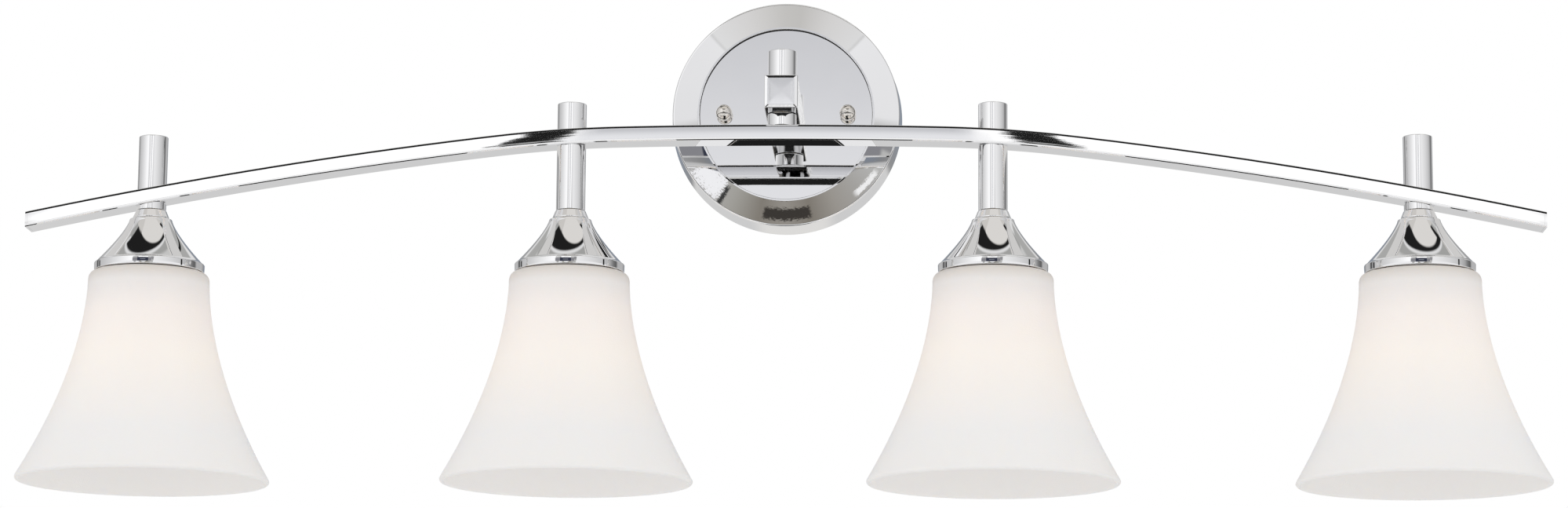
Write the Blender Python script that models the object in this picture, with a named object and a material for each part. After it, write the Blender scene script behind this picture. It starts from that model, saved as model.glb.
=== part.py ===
"""Vanity light bar: a round canopy, a square arm, an arched bar and four bell lamps.

Metres, +Z up. The origin is the centre of the mounting strap's back face, on the wall.
The wall is the plane Y = 0 and the room is on the -Y side. X runs along the bar.
"""

import math

import bmesh
import bpy

MM = 0.001

# Driving dimensions
AXIS_DEPTH = 77 * MM
LAMP_SPACING = 232.5 * MM
GAP = 0.3 * MM
POST_RADIUS = 8 * MM
RIM_RADIUS = 69 * MM
RIM_Z = -217.1 * MM

# Wall strap, studs and canopy
STRAP_SIZE = (104 * MM, 20 * MM, 1.8 * MM)
SLOT_X = 45.5 * MM
SLOT_LENGTH = 9 * MM
SLOT_WIDTH = 4.6 * MM
STUD_X = 34.925 * MM
STUD_RADIUS = 2.05 * MM
STUD_END = 26.3 * MM
STUD_CHAMFER = 0.8 * MM
SCREW_SETBACK = 0.2 * MM
SCREW_HOLE_RADIUS = 2.4 * MM
GROUND_SCREW_X = 15 * MM
GROUND_HEAD_RADIUS = 4 * MM
GROUND_HEAD_HEIGHT = 2.4 * MM
GROUND_HEAD_CHAMFER = 1 * MM
CANOPY_WALL_RADIUS = 65.6 * MM
CANOPY_EDGE_RADIUS = 64.3 * MM
CANOPY_LIP_RADIUS = 49.6 * MM
CANOPY_LIP_HALF = 0.6 * MM
CANOPY_LIP_FOOT = 1.1 * MM
CANOPY_LIP_DEPTH = 22.6 * MM
CANOPY_EDGE_DEPTH = 20.6 * MM
CANOPY_EDGE = 1.2 * MM
CANOPY_DISC_DEPTH = 20.3 * MM
CANOPY_SHEET = 1.1 * MM
SHEET_CORNER = 0.3 * MM
BALL_RADIUS = 4.65 * MM
BALL_NECK_RADIUS = 3.4 * MM
BALL_BORE_SPARE = 1 * MM

# Arm and its fastening
ARM_SIDE = 18.4 * MM
ARM_Z = -2.9 * MM
ARM_FRONT = 19 * MM
ARM_WALL = 1.5 * MM
ARM_BACK_PLATE = 3 * MM
ARM_EDGE = 1.0 * MM
ARM_NIPPLE_REACH = (8 * MM, 10 * MM)
NUT_RADIUS = 8 * MM
NUT_HEIGHT = 3.5 * MM

# Arched bar
BAR_HALF_LENGTH = 417 * MM
BAR_HEIGHT = 8.5 * MM
BAR_DEPTH = 18.5 * MM
BAR_WALL = 1.3 * MM
BAR_EDGE = 0.9 * MM
BAR_TOP_Z = -19.4 * MM
BAR_CAP = 1.2 * MM
BAR_SPANS = 30
BAR_DRILLING_LENGTH = 4 * MM
CROWN_HALF = 88.5 * MM
CROWN_BEND = 4000 * MM
SHOULDER_END = 157.7 * MM
SHOULDER_BEND = 714 * MM
TAIL_BEND = 2780 * MM

# Posts and threaded nipples
CENTRE_POST_TOP = 23.4 * MM
INNER_POST_TOP = -6.3 * MM
OUTER_POST_TOP = -24.7 * MM
POST_ROOF = 3 * MM
POST_EDGE = 0.5 * MM
POST_SEAT_REACH = 6 * MM
CENTRE_SEAT_REACH = 1 * MM
NIPPLE_RADIUS = 4.8 * MM
NIPPLE_BORE = 3.3 * MM
NIPPLE_HOLE = 5.25 * MM
NIPPLE_SPARE = 1 * MM
NIPPLE_BELOW_NECK = 9 * MM

# Lamp stack, each height measured down from the collar's top
COLLAR_TOP_Z = -66.4 * MM
COLLAR_HEIGHT = 4.4 * MM
COLLAR_RADII = (8.3 * MM, 9.9 * MM)
CUP_TOP_RADIUS = 11.6 * MM
CUP_FLANGE_RADIUS = 30.2 * MM
CUP_FLARE_HEIGHT = 25 * MM
CUP_FLANGE_HEIGHT = 4.6 * MM
CUP_FLARE_POWER = 1.3
CUP_WALL = 1.3 * MM
CUP_FLARE_STEPS = 4
SOCKET_NECK_RADIUS = 9 * MM
SOCKET_RADIUS = 18.8 * MM
SOCKET_TOP = 8 * MM
SOCKET_SHOULDER = 24 * MM
SOCKET_FLOOR = 30.5 * MM
SOCKET_END = 61.5 * MM
SOCKET_BORE = 14.2 * MM
SHADE_HOLE = 19.6 * MM
SHADE_TOP_RADIUS = 29.5 * MM
SHADE_TOP_INSET = 1 * MM
SHADE_KNUCKLE_DROP = 1.6 * MM
SHADE_INNER_DROP = 2 * MM
SHADE_SHOULDER_RADIUS = 33 * MM
SHADE_SHOULDER_HEIGHT = 4.6 * MM
SHADE_GLASS = 3 * MM
SHADE_FLARE_POWER = 1.78
RING_RADII = (19.3 * MM, 23.5 * MM)
RING_HEIGHT = 5 * MM
BULB_CAP_RADIUS = 13 * MM
BULB_CAP_LENGTH = 26.4 * MM
BULB_CAP_SHOULDER = 4 * MM
BULB_SEAT_GAP = 0.6 * MM
BULB_NECK_SPREAD = 1.08
BULB_NECK_LENGTH = 9 * MM
BULB_TIP_RADIUS = 4.5 * MM
BULB_GLOBE_RADIUS = 29 * MM
BULB_GLOBE_LENGTH = 76 * MM
BULB_GLASS = 1 * MM

LONG_CUT = 30 * MM
SHORT_CUT = 12 * MM
COARSE = 12
ROUND = 20
FINE = 32
SHARP_ANGLE = math.radians(35)
SAME_LEVEL = 1e-5


def clear_scene():
    for obj in list(bpy.data.objects):
        bpy.data.objects.remove(obj, do_unlink=True)


def material(name, colour, metallic, roughness):
    found = bpy.data.materials.get(name)
    if found:
        return found
    made = bpy.data.materials.new(name)
    made.use_nodes = True
    shader = made.node_tree.nodes["Principled BSDF"]
    shader.inputs["Base Color"].default_value = (*colour, 1)
    shader.inputs["Metallic"].default_value = metallic
    shader.inputs["Roughness"].default_value = roughness
    return made


def chrome():
    return material("chrome", (0.80, 0.81, 0.83), 1, 0.06)


def zinc():
    return material("zinc_plated_steel", (0.66, 0.66, 0.64), 1, 0.35)


def brass():
    return material("brass", (0.72, 0.56, 0.27), 1, 0.30)


def green_screw():
    return material("green_screw", (0.05, 0.32, 0.12), 0.6, 0.35)


def opal_glass():
    return material("opal_glass", (0.93, 0.91, 0.88), 0, 0.35)


def socket_plastic():
    return material("socket_plastic", (0.05, 0.05, 0.05), 0, 0.45)


def bulb_glass():
    return material("bulb_glass", (0.95, 0.93, 0.90), 0, 0.40)


def bulb_cap_metal():
    return material("bulb_cap_metal", (0.75, 0.74, 0.70), 1, 0.30)


def empty(name, location):
    obj = bpy.data.objects.new(name, None)
    obj.location = location
    bpy.context.scene.collection.objects.link(obj)
    return obj


def finish(name, bm, look, parent, location=(0, 0, 0), facing_room=False):
    """Makes an object of the bmesh. facing_room turns its local +Z towards the room."""
    bmesh.ops.recalc_face_normals(bm, faces=bm.faces)
    mesh = bpy.data.meshes.new(name)
    bm.to_mesh(mesh)
    bm.free()
    mesh.shade_smooth()
    mesh.set_sharp_from_angle(angle=SHARP_ANGLE)
    obj = bpy.data.objects.new(name, mesh)
    obj.location = location
    if facing_room:
        obj.rotation_euler = (math.pi / 2, 0, 0)
    obj.parent = parent
    if look:
        mesh.materials.append(look)
    bpy.context.scene.collection.objects.link(obj)
    return obj


def turned(profile, steps):
    """Spins a closed outline of (radius, height) points about local Z."""
    bm = bmesh.new()
    verts = [bm.verts.new((radius, 0, height)) for radius, height in profile]
    edges = [bm.edges.new((a, b)) for a, b in zip(verts, verts[1:] + verts[:1])]
    bmesh.ops.spin(
        bm, geom=verts + edges, cent=(0, 0, 0), axis=(0, 0, 1),
        angle=2 * math.pi, steps=steps, use_merge=True,
    )
    bmesh.ops.remove_doubles(bm, verts=bm.verts, dist=1e-6)
    loose = [edge for edge in bm.edges if not edge.link_faces]
    bmesh.ops.delete(bm, geom=loose, context="EDGES")
    return bm


def tube_outline(inner, outer, low, high):
    return [(outer, high), (outer, low), (inner, low), (inner, high)]


def block(size, centre):
    bm = bmesh.new()
    bmesh.ops.create_cube(bm, size=1)
    bmesh.ops.scale(bm, vec=size, verts=bm.verts)
    bmesh.ops.translate(bm, vec=centre, verts=bm.verts)
    return bm


def cutter(name, bm, parent, location, facing_room=False):
    obj = finish(name, bm, None, parent, location, facing_room)
    obj.hide_render = True
    obj.display_type = "WIRE"
    return obj


def rod(radius, length, sides):
    bm = bmesh.new()
    bmesh.ops.create_cone(
        bm, cap_ends=True, segments=sides, radius1=radius, radius2=radius, depth=length
    )
    return bm


def rod_cutter(name, radius, length, parent, location, facing_room=False):
    return cutter(name, rod(radius, length, COARSE), parent, location, facing_room)


def cut(obj, tools):
    for tool in tools:
        modifier = obj.modifiers.new(tool.name, "BOOLEAN")
        modifier.operation = "DIFFERENCE"
        modifier.solver = "EXACT"
        modifier.object = tool


def bar_slope_and_drop(x):
    """How far the arched bar has come down at x: gentle arcs, taken as parabolas."""
    across = abs(x)
    drop = slope = start = 0
    for end, bend in (
        (CROWN_HALF, CROWN_BEND), (SHOULDER_END, SHOULDER_BEND), (BAR_HALF_LENGTH, TAIL_BEND),
    ):
        run = min(across, end) - start
        drop += slope * run + run * run / (2 * bend)
        slope += run / bend
        start = end
        if across <= end:
            break
    return slope, drop


def bar_top(x):
    return BAR_TOP_Z - bar_slope_and_drop(x)[1]


def seat(bm, level, surface, offset):
    """Moves the vertices at a height of level onto a sloping surface."""
    for vert in bm.verts:
        if abs(vert.co.z - level) < SAME_LEVEL:
            vert.co.z = surface(vert.co.x + offset)


def section(width, height, edge):
    """A chamfered rectangle, as (y, z) points about its centre."""
    y, z = width / 2, height / 2
    corners = [(y, z - edge), (y - edge, z)]
    corners += [(-y + edge, z), (-y, z - edge)]
    return corners + [(-a, -b) for a, b in corners]


def swept_bar(x_low, x_high, spans, hollow):
    """The arched bar's stretch between two plumb cuts, as a tube or a solid."""
    outer = section(BAR_DEPTH, BAR_HEIGHT, BAR_EDGE)
    inner = section(BAR_DEPTH - 2 * BAR_WALL, BAR_HEIGHT - 2 * BAR_WALL, BAR_EDGE / 2)
    bm = bmesh.new()
    rings = []
    for step in range(spans + 1):
        x = x_low + (x_high - x_low) * step / spans
        middle = bar_top(x) - BAR_HEIGHT / 2
        loops = [outer, inner] if hollow else [outer]
        rings.append([[bm.verts.new((x, a, middle + b)) for a, b in loop] for loop in loops])
    for near, far in zip(rings, rings[1:]):
        for one, two in zip(near, far):
            for i in range(len(one)):
                j = (i + 1) % len(one)
                bm.faces.new((one[i], one[j], two[j], two[i]))
    for ring in (rings[0], rings[-1]):
        if not hollow:
            bm.faces.new(ring[0])
            continue
        for i in range(len(outer)):
            bm.faces.new((ring[0][i - 1], ring[0][i], ring[1][i], ring[1][i - 1]))
    return bm


def make_strap(parent):
    width, height, thick = STRAP_SIZE
    strap = finish(
        "mounting_strap", block((width, thick, height), (0, -thick / 2, 0)), zinc(), parent
    )
    tools = [
        rod_cutter(f"strap_hole_{name}", SCREW_HOLE_RADIUS, SHORT_CUT, parent, (x, 0, 0), True)
        for name, x in (("left", -STUD_X), ("right", STUD_X), ("ground", GROUND_SCREW_X))
    ]
    for name, x in (("left", -SLOT_X), ("right", SLOT_X)):
        slot = block((SLOT_LENGTH, SHORT_CUT, SLOT_WIDTH), (x, 0, 0))
        tools.append(cutter(f"strap_slot_{name}", slot, parent, (0, 0, 0)))
    cut(strap, tools)


def make_ground_screw(parent):
    thick = STRAP_SIZE[2]
    base = thick + GAP
    top = base + GROUND_HEAD_HEIGHT
    outline = [
        (0, top), (GROUND_HEAD_RADIUS - GROUND_HEAD_CHAMFER, top),
        (GROUND_HEAD_RADIUS, top - GROUND_HEAD_CHAMFER), (GROUND_HEAD_RADIUS, base),
        (STUD_RADIUS, base), (STUD_RADIUS, SCREW_SETBACK), (0, SCREW_SETBACK),
    ]
    finish(
        "ground_screw", turned(outline, COARSE), green_screw(), parent, (GROUND_SCREW_X, 0, 0), True
    )


def make_studs(parent):
    outline = [
        (0, STUD_END), (STUD_RADIUS - STUD_CHAMFER, STUD_END),
        (STUD_RADIUS, STUD_END - STUD_CHAMFER), (STUD_RADIUS, SCREW_SETBACK), (0, SCREW_SETBACK),
    ]
    for side, x in (("left", -STUD_X), ("right", STUD_X)):
        finish(f"stud_{side}", turned(outline, COARSE), zinc(), parent, (x, 0, 0), True)


def make_cap_nuts(parent):
    """Ball nuts. Each has a blind bore for the stud's end and a short neck to the canopy."""
    base = CANOPY_DISC_DEPTH + GAP
    centre = base + BALL_RADIUS
    first = math.asin(BALL_NECK_RADIUS / BALL_RADIUS) - math.pi / 2
    points = [first + (math.pi / 2 - first) * step / 6 for step in range(6, -1, -1)]
    outline = [(BALL_RADIUS * math.cos(a), centre + BALL_RADIUS * math.sin(a)) for a in points]
    outline[0] = (0, centre + BALL_RADIUS)
    bore_end = STUD_END + BALL_BORE_SPARE
    outline += [(BALL_NECK_RADIUS, base), (SCREW_HOLE_RADIUS, base)]
    outline += [(SCREW_HOLE_RADIUS, bore_end), (0, bore_end)]
    for side, x in (("left", -STUD_X), ("right", STUD_X)):
        finish(f"cap_nut_{side}", turned(outline, COARSE), chrome(), parent, (x, 0, 0), True)


def make_canopy(parent):
    """A pressed shell: side wall, sloping ring, raised lip, and a flat disc set back inside it."""
    edge, sheet, lip = CANOPY_EDGE, CANOPY_SHEET, CANOPY_LIP_RADIUS
    foot = lip - CANOPY_LIP_FOOT
    outline = [
        (0, CANOPY_DISC_DEPTH), (foot, CANOPY_DISC_DEPTH),
        (lip - CANOPY_LIP_HALF, CANOPY_LIP_DEPTH), (lip + CANOPY_LIP_HALF, CANOPY_LIP_DEPTH),
        (CANOPY_EDGE_RADIUS - edge, CANOPY_EDGE_DEPTH),
        (CANOPY_EDGE_RADIUS, CANOPY_EDGE_DEPTH - edge), (CANOPY_WALL_RADIUS, 0),
        (CANOPY_WALL_RADIUS - sheet, 0),
        (CANOPY_EDGE_RADIUS - sheet, CANOPY_EDGE_DEPTH - edge - sheet / 2),
        (CANOPY_EDGE_RADIUS - edge - sheet, CANOPY_EDGE_DEPTH - sheet - SHEET_CORNER),
        (lip + CANOPY_LIP_HALF + SHEET_CORNER, CANOPY_LIP_DEPTH - sheet),
        (foot + sheet, CANOPY_DISC_DEPTH - sheet), (0, CANOPY_DISC_DEPTH - sheet),
    ]
    canopy = finish("canopy", turned(outline, FINE), chrome(), parent, (0, 0, 0), True)
    holes = (
        ("left", SCREW_HOLE_RADIUS, -STUD_X, 0), ("right", SCREW_HOLE_RADIUS, STUD_X, 0),
        ("arm", NIPPLE_HOLE, 0, ARM_Z),
    )
    cut(canopy, [
        rod_cutter(f"canopy_hole_{name}", radius, SHORT_CUT, parent, (x, -CANOPY_DISC_DEPTH, z), True)
        for name, radius, x, z in holes
    ])


def make_arm(parent):
    """A square tube with a closed front, drilled up and down for the centre nipple."""
    back = CANOPY_DISC_DEPTH + GAP
    front = AXIS_DEPTH + ARM_FRONT
    bm = block((ARM_SIDE, front - back, ARM_SIDE), (0, -(back + front) / 2, 0))
    edges = [edge for edge in bm.edges if min(v.co.y for v in edge.verts) < -back - ARM_EDGE]
    bmesh.ops.bevel(bm, geom=edges, offset=ARM_EDGE, segments=2, affect="EDGES", profile=0.5)
    arm = finish("arm", bm, chrome(), parent, (0, 0, ARM_Z))
    hollow_back = back + ARM_BACK_PLATE
    hollow_front = front - ARM_WALL
    side = ARM_SIDE - 2 * ARM_WALL
    hollow = block(
        (side, hollow_front - hollow_back, side), (0, -(hollow_back + hollow_front) / 2, 0)
    )
    cut(arm, [
        cutter("arm_hollow", hollow, parent, (0, 0, ARM_Z)),
        rod_cutter("arm_drilling", NIPPLE_HOLE, LONG_CUT, parent, (0, -AXIS_DEPTH, ARM_Z)),
        rod_cutter("arm_back_hole", NIPPLE_HOLE, SHORT_CUT, parent, (0, -back, ARM_Z), True),
    ])


def make_arm_fastening(parent):
    """A hollow threaded nipple through the canopy, and the hexagon nut that locks it inside."""
    low, beyond = ARM_NIPPLE_REACH
    nipple = tube_outline(NIPPLE_BORE, NIPPLE_RADIUS, low, CANOPY_DISC_DEPTH + beyond)
    finish("arm_nipple", turned(nipple, COARSE), brass(), parent, (0, 0, ARM_Z), True)
    place = (0, -(CANOPY_DISC_DEPTH - CANOPY_SHEET - GAP - NUT_HEIGHT / 2), ARM_Z)
    nut = finish("arm_nut", rod(NUT_RADIUS, NUT_HEIGHT, 6), zinc(), parent, place, True)
    cut(nut, [rod_cutter("nut_bore", NIPPLE_HOLE, SHORT_CUT, parent, place, True)])


def post_outline(low, high):
    """A blind post: open bore from below, closed and lightly chamfered at the top."""
    return [
        (0, high), (POST_RADIUS - POST_EDGE, high), (POST_RADIUS, high - POST_EDGE),
        (POST_RADIUS, low), (NIPPLE_HOLE, low), (NIPPLE_HOLE, high - POST_ROOF),
        (0, high - POST_ROOF),
    ]


def make_centre_post(parent):
    arm_top = ARM_Z + ARM_SIDE / 2 + GAP
    arm_bottom = ARM_Z - ARM_SIDE / 2 - GAP
    top = turned(post_outline(arm_top, CENTRE_POST_TOP), ROUND)
    finish("centre_post_top", top, chrome(), parent)
    low = bar_top(0) - CENTRE_SEAT_REACH
    bm = turned(tube_outline(NIPPLE_HOLE, POST_RADIUS, low, arm_bottom), ROUND)
    seat(bm, low, lambda x: bar_top(x) + GAP, 0)
    finish("centre_post_bottom", bm, chrome(), parent)
    nipple_end = BAR_TOP_Z - BAR_HEIGHT + BAR_WALL + NIPPLE_SPARE
    nipple_top = CENTRE_POST_TOP - POST_ROOF - NIPPLE_SPARE
    bm = turned(tube_outline(NIPPLE_BORE, NIPPLE_RADIUS, nipple_end, nipple_top), COARSE)
    finish("centre_nipple", bm, brass(), parent)


def make_bar(parent, lamp_places):
    end = BAR_HALF_LENGTH
    tube_end = end - BAR_CAP - GAP
    bar = finish("bar", swept_bar(-tube_end, tube_end, BAR_SPANS, True), chrome(), parent)
    tools = [
        rod_cutter(
            f"bar_drilling_{number}", NIPPLE_HOLE, LONG_CUT, parent, (x, 0, bar_top(x) - BAR_HEIGHT / 2)
        )
        for number, x in enumerate(lamp_places, 1)
    ]
    place = (0, 0, BAR_TOP_Z)
    centre = rod_cutter("bar_centre_drilling", NIPPLE_HOLE, BAR_DRILLING_LENGTH, parent, place)
    tools.append(centre)
    cut(bar, tools)
    for side, low, high in (("left", -end, -end + BAR_CAP), ("right", end - BAR_CAP, end)):
        finish(f"bar_cap_{side}", swept_bar(low, high, 1, False), chrome(), parent)


def make_post_and_stem(number, x, top, lamp):
    """The post's cap above the bar, its stem below, and the nipple that holds them together."""
    low = bar_top(x) - POST_SEAT_REACH
    bm = turned(post_outline(low, top), ROUND)
    seat(bm, low, lambda across: bar_top(across) + GAP, x)
    finish(f"post_cap_{number}", bm, chrome(), lamp)
    stem_top = bar_top(x) + POST_SEAT_REACH
    bm = turned(tube_outline(NIPPLE_HOLE, POST_RADIUS, COLLAR_TOP_Z + GAP, stem_top), ROUND)
    seat(bm, stem_top, lambda across: bar_top(across) - BAR_HEIGHT - GAP, x)
    finish(f"stem_{number}", bm, chrome(), lamp)
    nipple_end = COLLAR_TOP_Z - SOCKET_TOP - NIPPLE_BELOW_NECK
    nipple_top = top - POST_ROOF - NIPPLE_SPARE
    nipple = tube_outline(NIPPLE_BORE, NIPPLE_RADIUS, nipple_end, nipple_top)
    finish(f"nipple_{number}", turned(nipple, COARSE), brass(), lamp)


def make_collar(number, lamp):
    small, large = COLLAR_RADII
    low = COLLAR_TOP_Z - COLLAR_HEIGHT
    outline = [(small, COLLAR_TOP_Z), (large, low), (NIPPLE_HOLE, low), (NIPPLE_HOLE, COLLAR_TOP_Z)]
    finish(f"collar_{number}", turned(outline, ROUND), chrome(), lamp)


def cup_top():
    return COLLAR_TOP_Z - COLLAR_HEIGHT - GAP


def cup_bottom():
    return cup_top() - CUP_FLARE_HEIGHT - CUP_FLANGE_HEIGHT


def make_socket_cup(number, lamp):
    """A spun cup that flares from the collar to a plain flange over the glass."""
    top = cup_top()
    flare = []
    for step in range(CUP_FLARE_STEPS + 1):
        share = step / CUP_FLARE_STEPS
        spread = (CUP_FLANGE_RADIUS - CUP_TOP_RADIUS) * share**CUP_FLARE_POWER
        flare.append((CUP_TOP_RADIUS + spread, top - CUP_FLARE_HEIGHT * share))
    inside = [(radius - 1.2 * CUP_WALL, height - CUP_WALL / 2) for radius, height in flare[1:]]
    inside.insert(0, (CUP_TOP_RADIUS - CUP_WALL, top - CUP_WALL))
    outline = [(NIPPLE_HOLE, top), *flare, (CUP_FLANGE_RADIUS, cup_bottom())]
    outline.append((inside[-1][0], cup_bottom()))
    outline += [*reversed(inside), (NIPPLE_HOLE, top - CUP_WALL)]
    finish(f"socket_cup_{number}", turned(outline, ROUND), chrome(), lamp)


def make_socket(number, lamp):
    """The insulated lampholder: a neck on the nipple and a deep bore for the bulb's cap."""
    top, shoulder, floor, end = (
        COLLAR_TOP_Z - depth for depth in (SOCKET_TOP, SOCKET_SHOULDER, SOCKET_FLOOR, SOCKET_END)
    )
    outline = [
        (SOCKET_NECK_RADIUS, top), (SOCKET_NECK_RADIUS, shoulder), (SOCKET_RADIUS, shoulder),
        (SOCKET_RADIUS, end), (SOCKET_BORE, end), (SOCKET_BORE, floor), (0, floor),
        (0, shoulder), (NIPPLE_HOLE, shoulder), (NIPPLE_HOLE, top),
    ]
    finish(f"socket_{number}", turned(outline, ROUND), socket_plastic(), lamp)


def shade_wall(top):
    """The bell's outer line, from its shoulder down to the rim, as (radius, height)."""
    shoulder = top - SHADE_SHOULDER_HEIGHT
    flare = RIM_RADIUS - SHADE_SHOULDER_RADIUS
    line = []
    for share in (0, 0.22, 0.4, 0.55, 0.68, 0.8, 0.91, 1):
        radius = SHADE_SHOULDER_RADIUS + flare * share**SHADE_FLARE_POWER
        line.append((radius, shoulder + (RIM_Z - shoulder) * share))
    return line


def make_shade(number, lamp):
    """A blown bell with a flat top, a hole for the socket, a round shoulder and a flared mouth."""
    top = cup_bottom() - GAP
    glass = SHADE_GLASS
    wall = shade_wall(top)
    knuckle = (SHADE_SHOULDER_RADIUS - SHADE_TOP_INSET, top - SHADE_KNUCKLE_DROP)
    outline = [(SHADE_HOLE, top), (SHADE_TOP_RADIUS, top), knuckle, *wall]
    inner = [(radius - glass, height) for radius, height in wall[:-1]]
    outline += [(RIM_RADIUS - glass, RIM_Z), *reversed(inner[1:])]
    outline += [(SHADE_SHOULDER_RADIUS - glass, top - glass - SHADE_INNER_DROP)]
    outline += [(SHADE_TOP_RADIUS - SHADE_TOP_INSET, top - glass), (SHADE_HOLE, top - glass)]
    finish(f"shade_{number}", turned(outline, ROUND), opal_glass(), lamp)


def make_shade_ring(number, lamp):
    high = cup_bottom() - 2 * GAP - SHADE_GLASS
    inner, outer = RING_RADII
    bm = turned(tube_outline(inner, outer, high - RING_HEIGHT, high), ROUND)
    finish(f"shade_ring_{number}", bm, socket_plastic(), lamp)


def globe_line(neck, centre, neck_radius, globe_radius):
    """A pear-shaped line from a bulb's neck to the bottom of its globe."""
    line = [(neck_radius, neck), (neck_radius * BULB_NECK_SPREAD, neck - BULB_NECK_LENGTH)]
    for degrees in (48, 20, -10, -40, -66):
        angle = math.radians(degrees)
        line.append((globe_radius * math.cos(angle), centre + globe_radius * math.sin(angle)))
    return [*line, (0, centre - globe_radius)]


def make_bulb(number, lamp):
    """A pear-shaped bulb: its screw cap in the socket and its thin frosted globe in the shade."""
    top = COLLAR_TOP_Z - SOCKET_FLOOR - BULB_SEAT_GAP
    low = top - BULB_CAP_LENGTH
    shoulder = top - BULB_CAP_SHOULDER
    outline = [
        (0, top), (BULB_TIP_RADIUS, top), (BULB_CAP_RADIUS, shoulder), (BULB_CAP_RADIUS, low), (0, low),
    ]
    finish(f"bulb_cap_{number}", turned(outline, COARSE), bulb_cap_metal(), lamp)
    neck = low - GAP
    centre = neck - BULB_GLOBE_LENGTH + BULB_GLOBE_RADIUS
    outline = globe_line(neck, centre, BULB_CAP_RADIUS, BULB_GLOBE_RADIUS)
    inner = globe_line(neck, centre, BULB_CAP_RADIUS - BULB_GLASS, BULB_GLOBE_RADIUS - BULB_GLASS)
    finish(f"bulb_globe_{number}", turned(outline + inner[::-1], ROUND), bulb_glass(), lamp)


def make_lamp(number, x, post_top, fixture):
    lamp = empty(f"lamp_{number}", (x, -AXIS_DEPTH, 0))
    lamp.parent = fixture
    make_post_and_stem(number, x, post_top, lamp)
    make_collar(number, lamp)
    make_socket_cup(number, lamp)
    make_socket(number, lamp)
    make_shade_ring(number, lamp)
    make_shade(number, lamp)
    make_bulb(number, lamp)


def main():
    clear_scene()
    fixture = empty("fixture", (0, 0, 0))
    make_strap(fixture)
    make_ground_screw(fixture)
    make_studs(fixture)
    make_canopy(fixture)
    make_cap_nuts(fixture)
    make_arm(fixture)
    make_arm_fastening(fixture)
    axis = empty("post_axis", (0, -AXIS_DEPTH, 0))
    axis.parent = fixture
    make_centre_post(axis)
    lamp_places = [LAMP_SPACING * place for place in (-1.5, -0.5, 0.5, 1.5)]
    make_bar(axis, lamp_places)
    post_tops = (OUTER_POST_TOP, INNER_POST_TOP, INNER_POST_TOP, OUTER_POST_TOP)
    for number, (x, post_top) in enumerate(zip(lamp_places, post_tops), 1):
        make_lamp(number, x, post_top, fixture)


main()
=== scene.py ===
"""Looks of a vanity light bar: chrome canopy, arm and arched bar with four opal bell shades.

The packed model is the fixed frame, in metres with +Z up. The wall is the plane Y = 0, the
room is on the -Y side and X runs along the bar. Each class below builds one sub-assembly
inside the box of the solids it stands for, and dresses it in its finishes.
"""

import logging
import math
from collections.abc import Callable, Sequence
from dataclasses import dataclass, field
from enum import Enum

import bmesh
import bpy
from mathutils import Matrix, Vector

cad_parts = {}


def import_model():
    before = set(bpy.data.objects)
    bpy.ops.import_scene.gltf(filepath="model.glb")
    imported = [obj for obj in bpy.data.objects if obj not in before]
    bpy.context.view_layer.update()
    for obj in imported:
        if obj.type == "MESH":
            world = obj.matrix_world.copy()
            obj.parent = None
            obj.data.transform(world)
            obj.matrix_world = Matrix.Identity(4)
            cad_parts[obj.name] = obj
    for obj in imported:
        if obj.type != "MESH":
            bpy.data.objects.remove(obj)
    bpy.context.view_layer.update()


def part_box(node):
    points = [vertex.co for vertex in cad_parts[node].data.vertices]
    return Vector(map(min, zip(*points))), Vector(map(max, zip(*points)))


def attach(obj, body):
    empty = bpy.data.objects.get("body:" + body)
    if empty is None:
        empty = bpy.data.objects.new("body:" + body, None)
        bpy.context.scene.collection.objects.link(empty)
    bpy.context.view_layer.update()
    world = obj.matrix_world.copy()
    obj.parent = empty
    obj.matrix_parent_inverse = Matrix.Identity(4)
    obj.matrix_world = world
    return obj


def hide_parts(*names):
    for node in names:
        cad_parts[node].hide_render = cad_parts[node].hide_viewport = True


LOG = logging.getLogger("vanity_light_bar")
MM = 0.001
FULL_TURN = 2 * math.pi
LAMP_NUMBERS = (1, 2, 3, 4)

Triple = tuple[float, float, float]
Colour = Triple
Point2 = tuple[float, float]
Outline = list[Point2]

# How closely vertices have to lie to be welded, and how near to its axis a ring is a point.
WELD = 2e-7
ON_AXIS = 1e-7

# Rounding radii of edges, from a bare cut to a full, soft corner.
SHARP = 0.0
CRISP = 0.1 * MM
FINE = 0.15 * MM
EASED = 0.3 * MM
SOFT = 0.4 * MM
FULL = 0.8 * MM

# Sharper turns than this between two faces are shown as edges.
EDGE_ANGLE = math.radians(50)


# ---------------------------------------------------------------- nodes


def by_node(operation: str) -> Callable[["Value", "Value | float"], "Value"]:
    """Makes a method that puts a Math node on a value and another."""

    def method(self: "Value", other: "Value | float") -> "Value":
        return self.graph.math(operation, self, other)

    method.__doc__ = f"The result of a Math node, {operation}, on this value and another."
    return method


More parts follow.
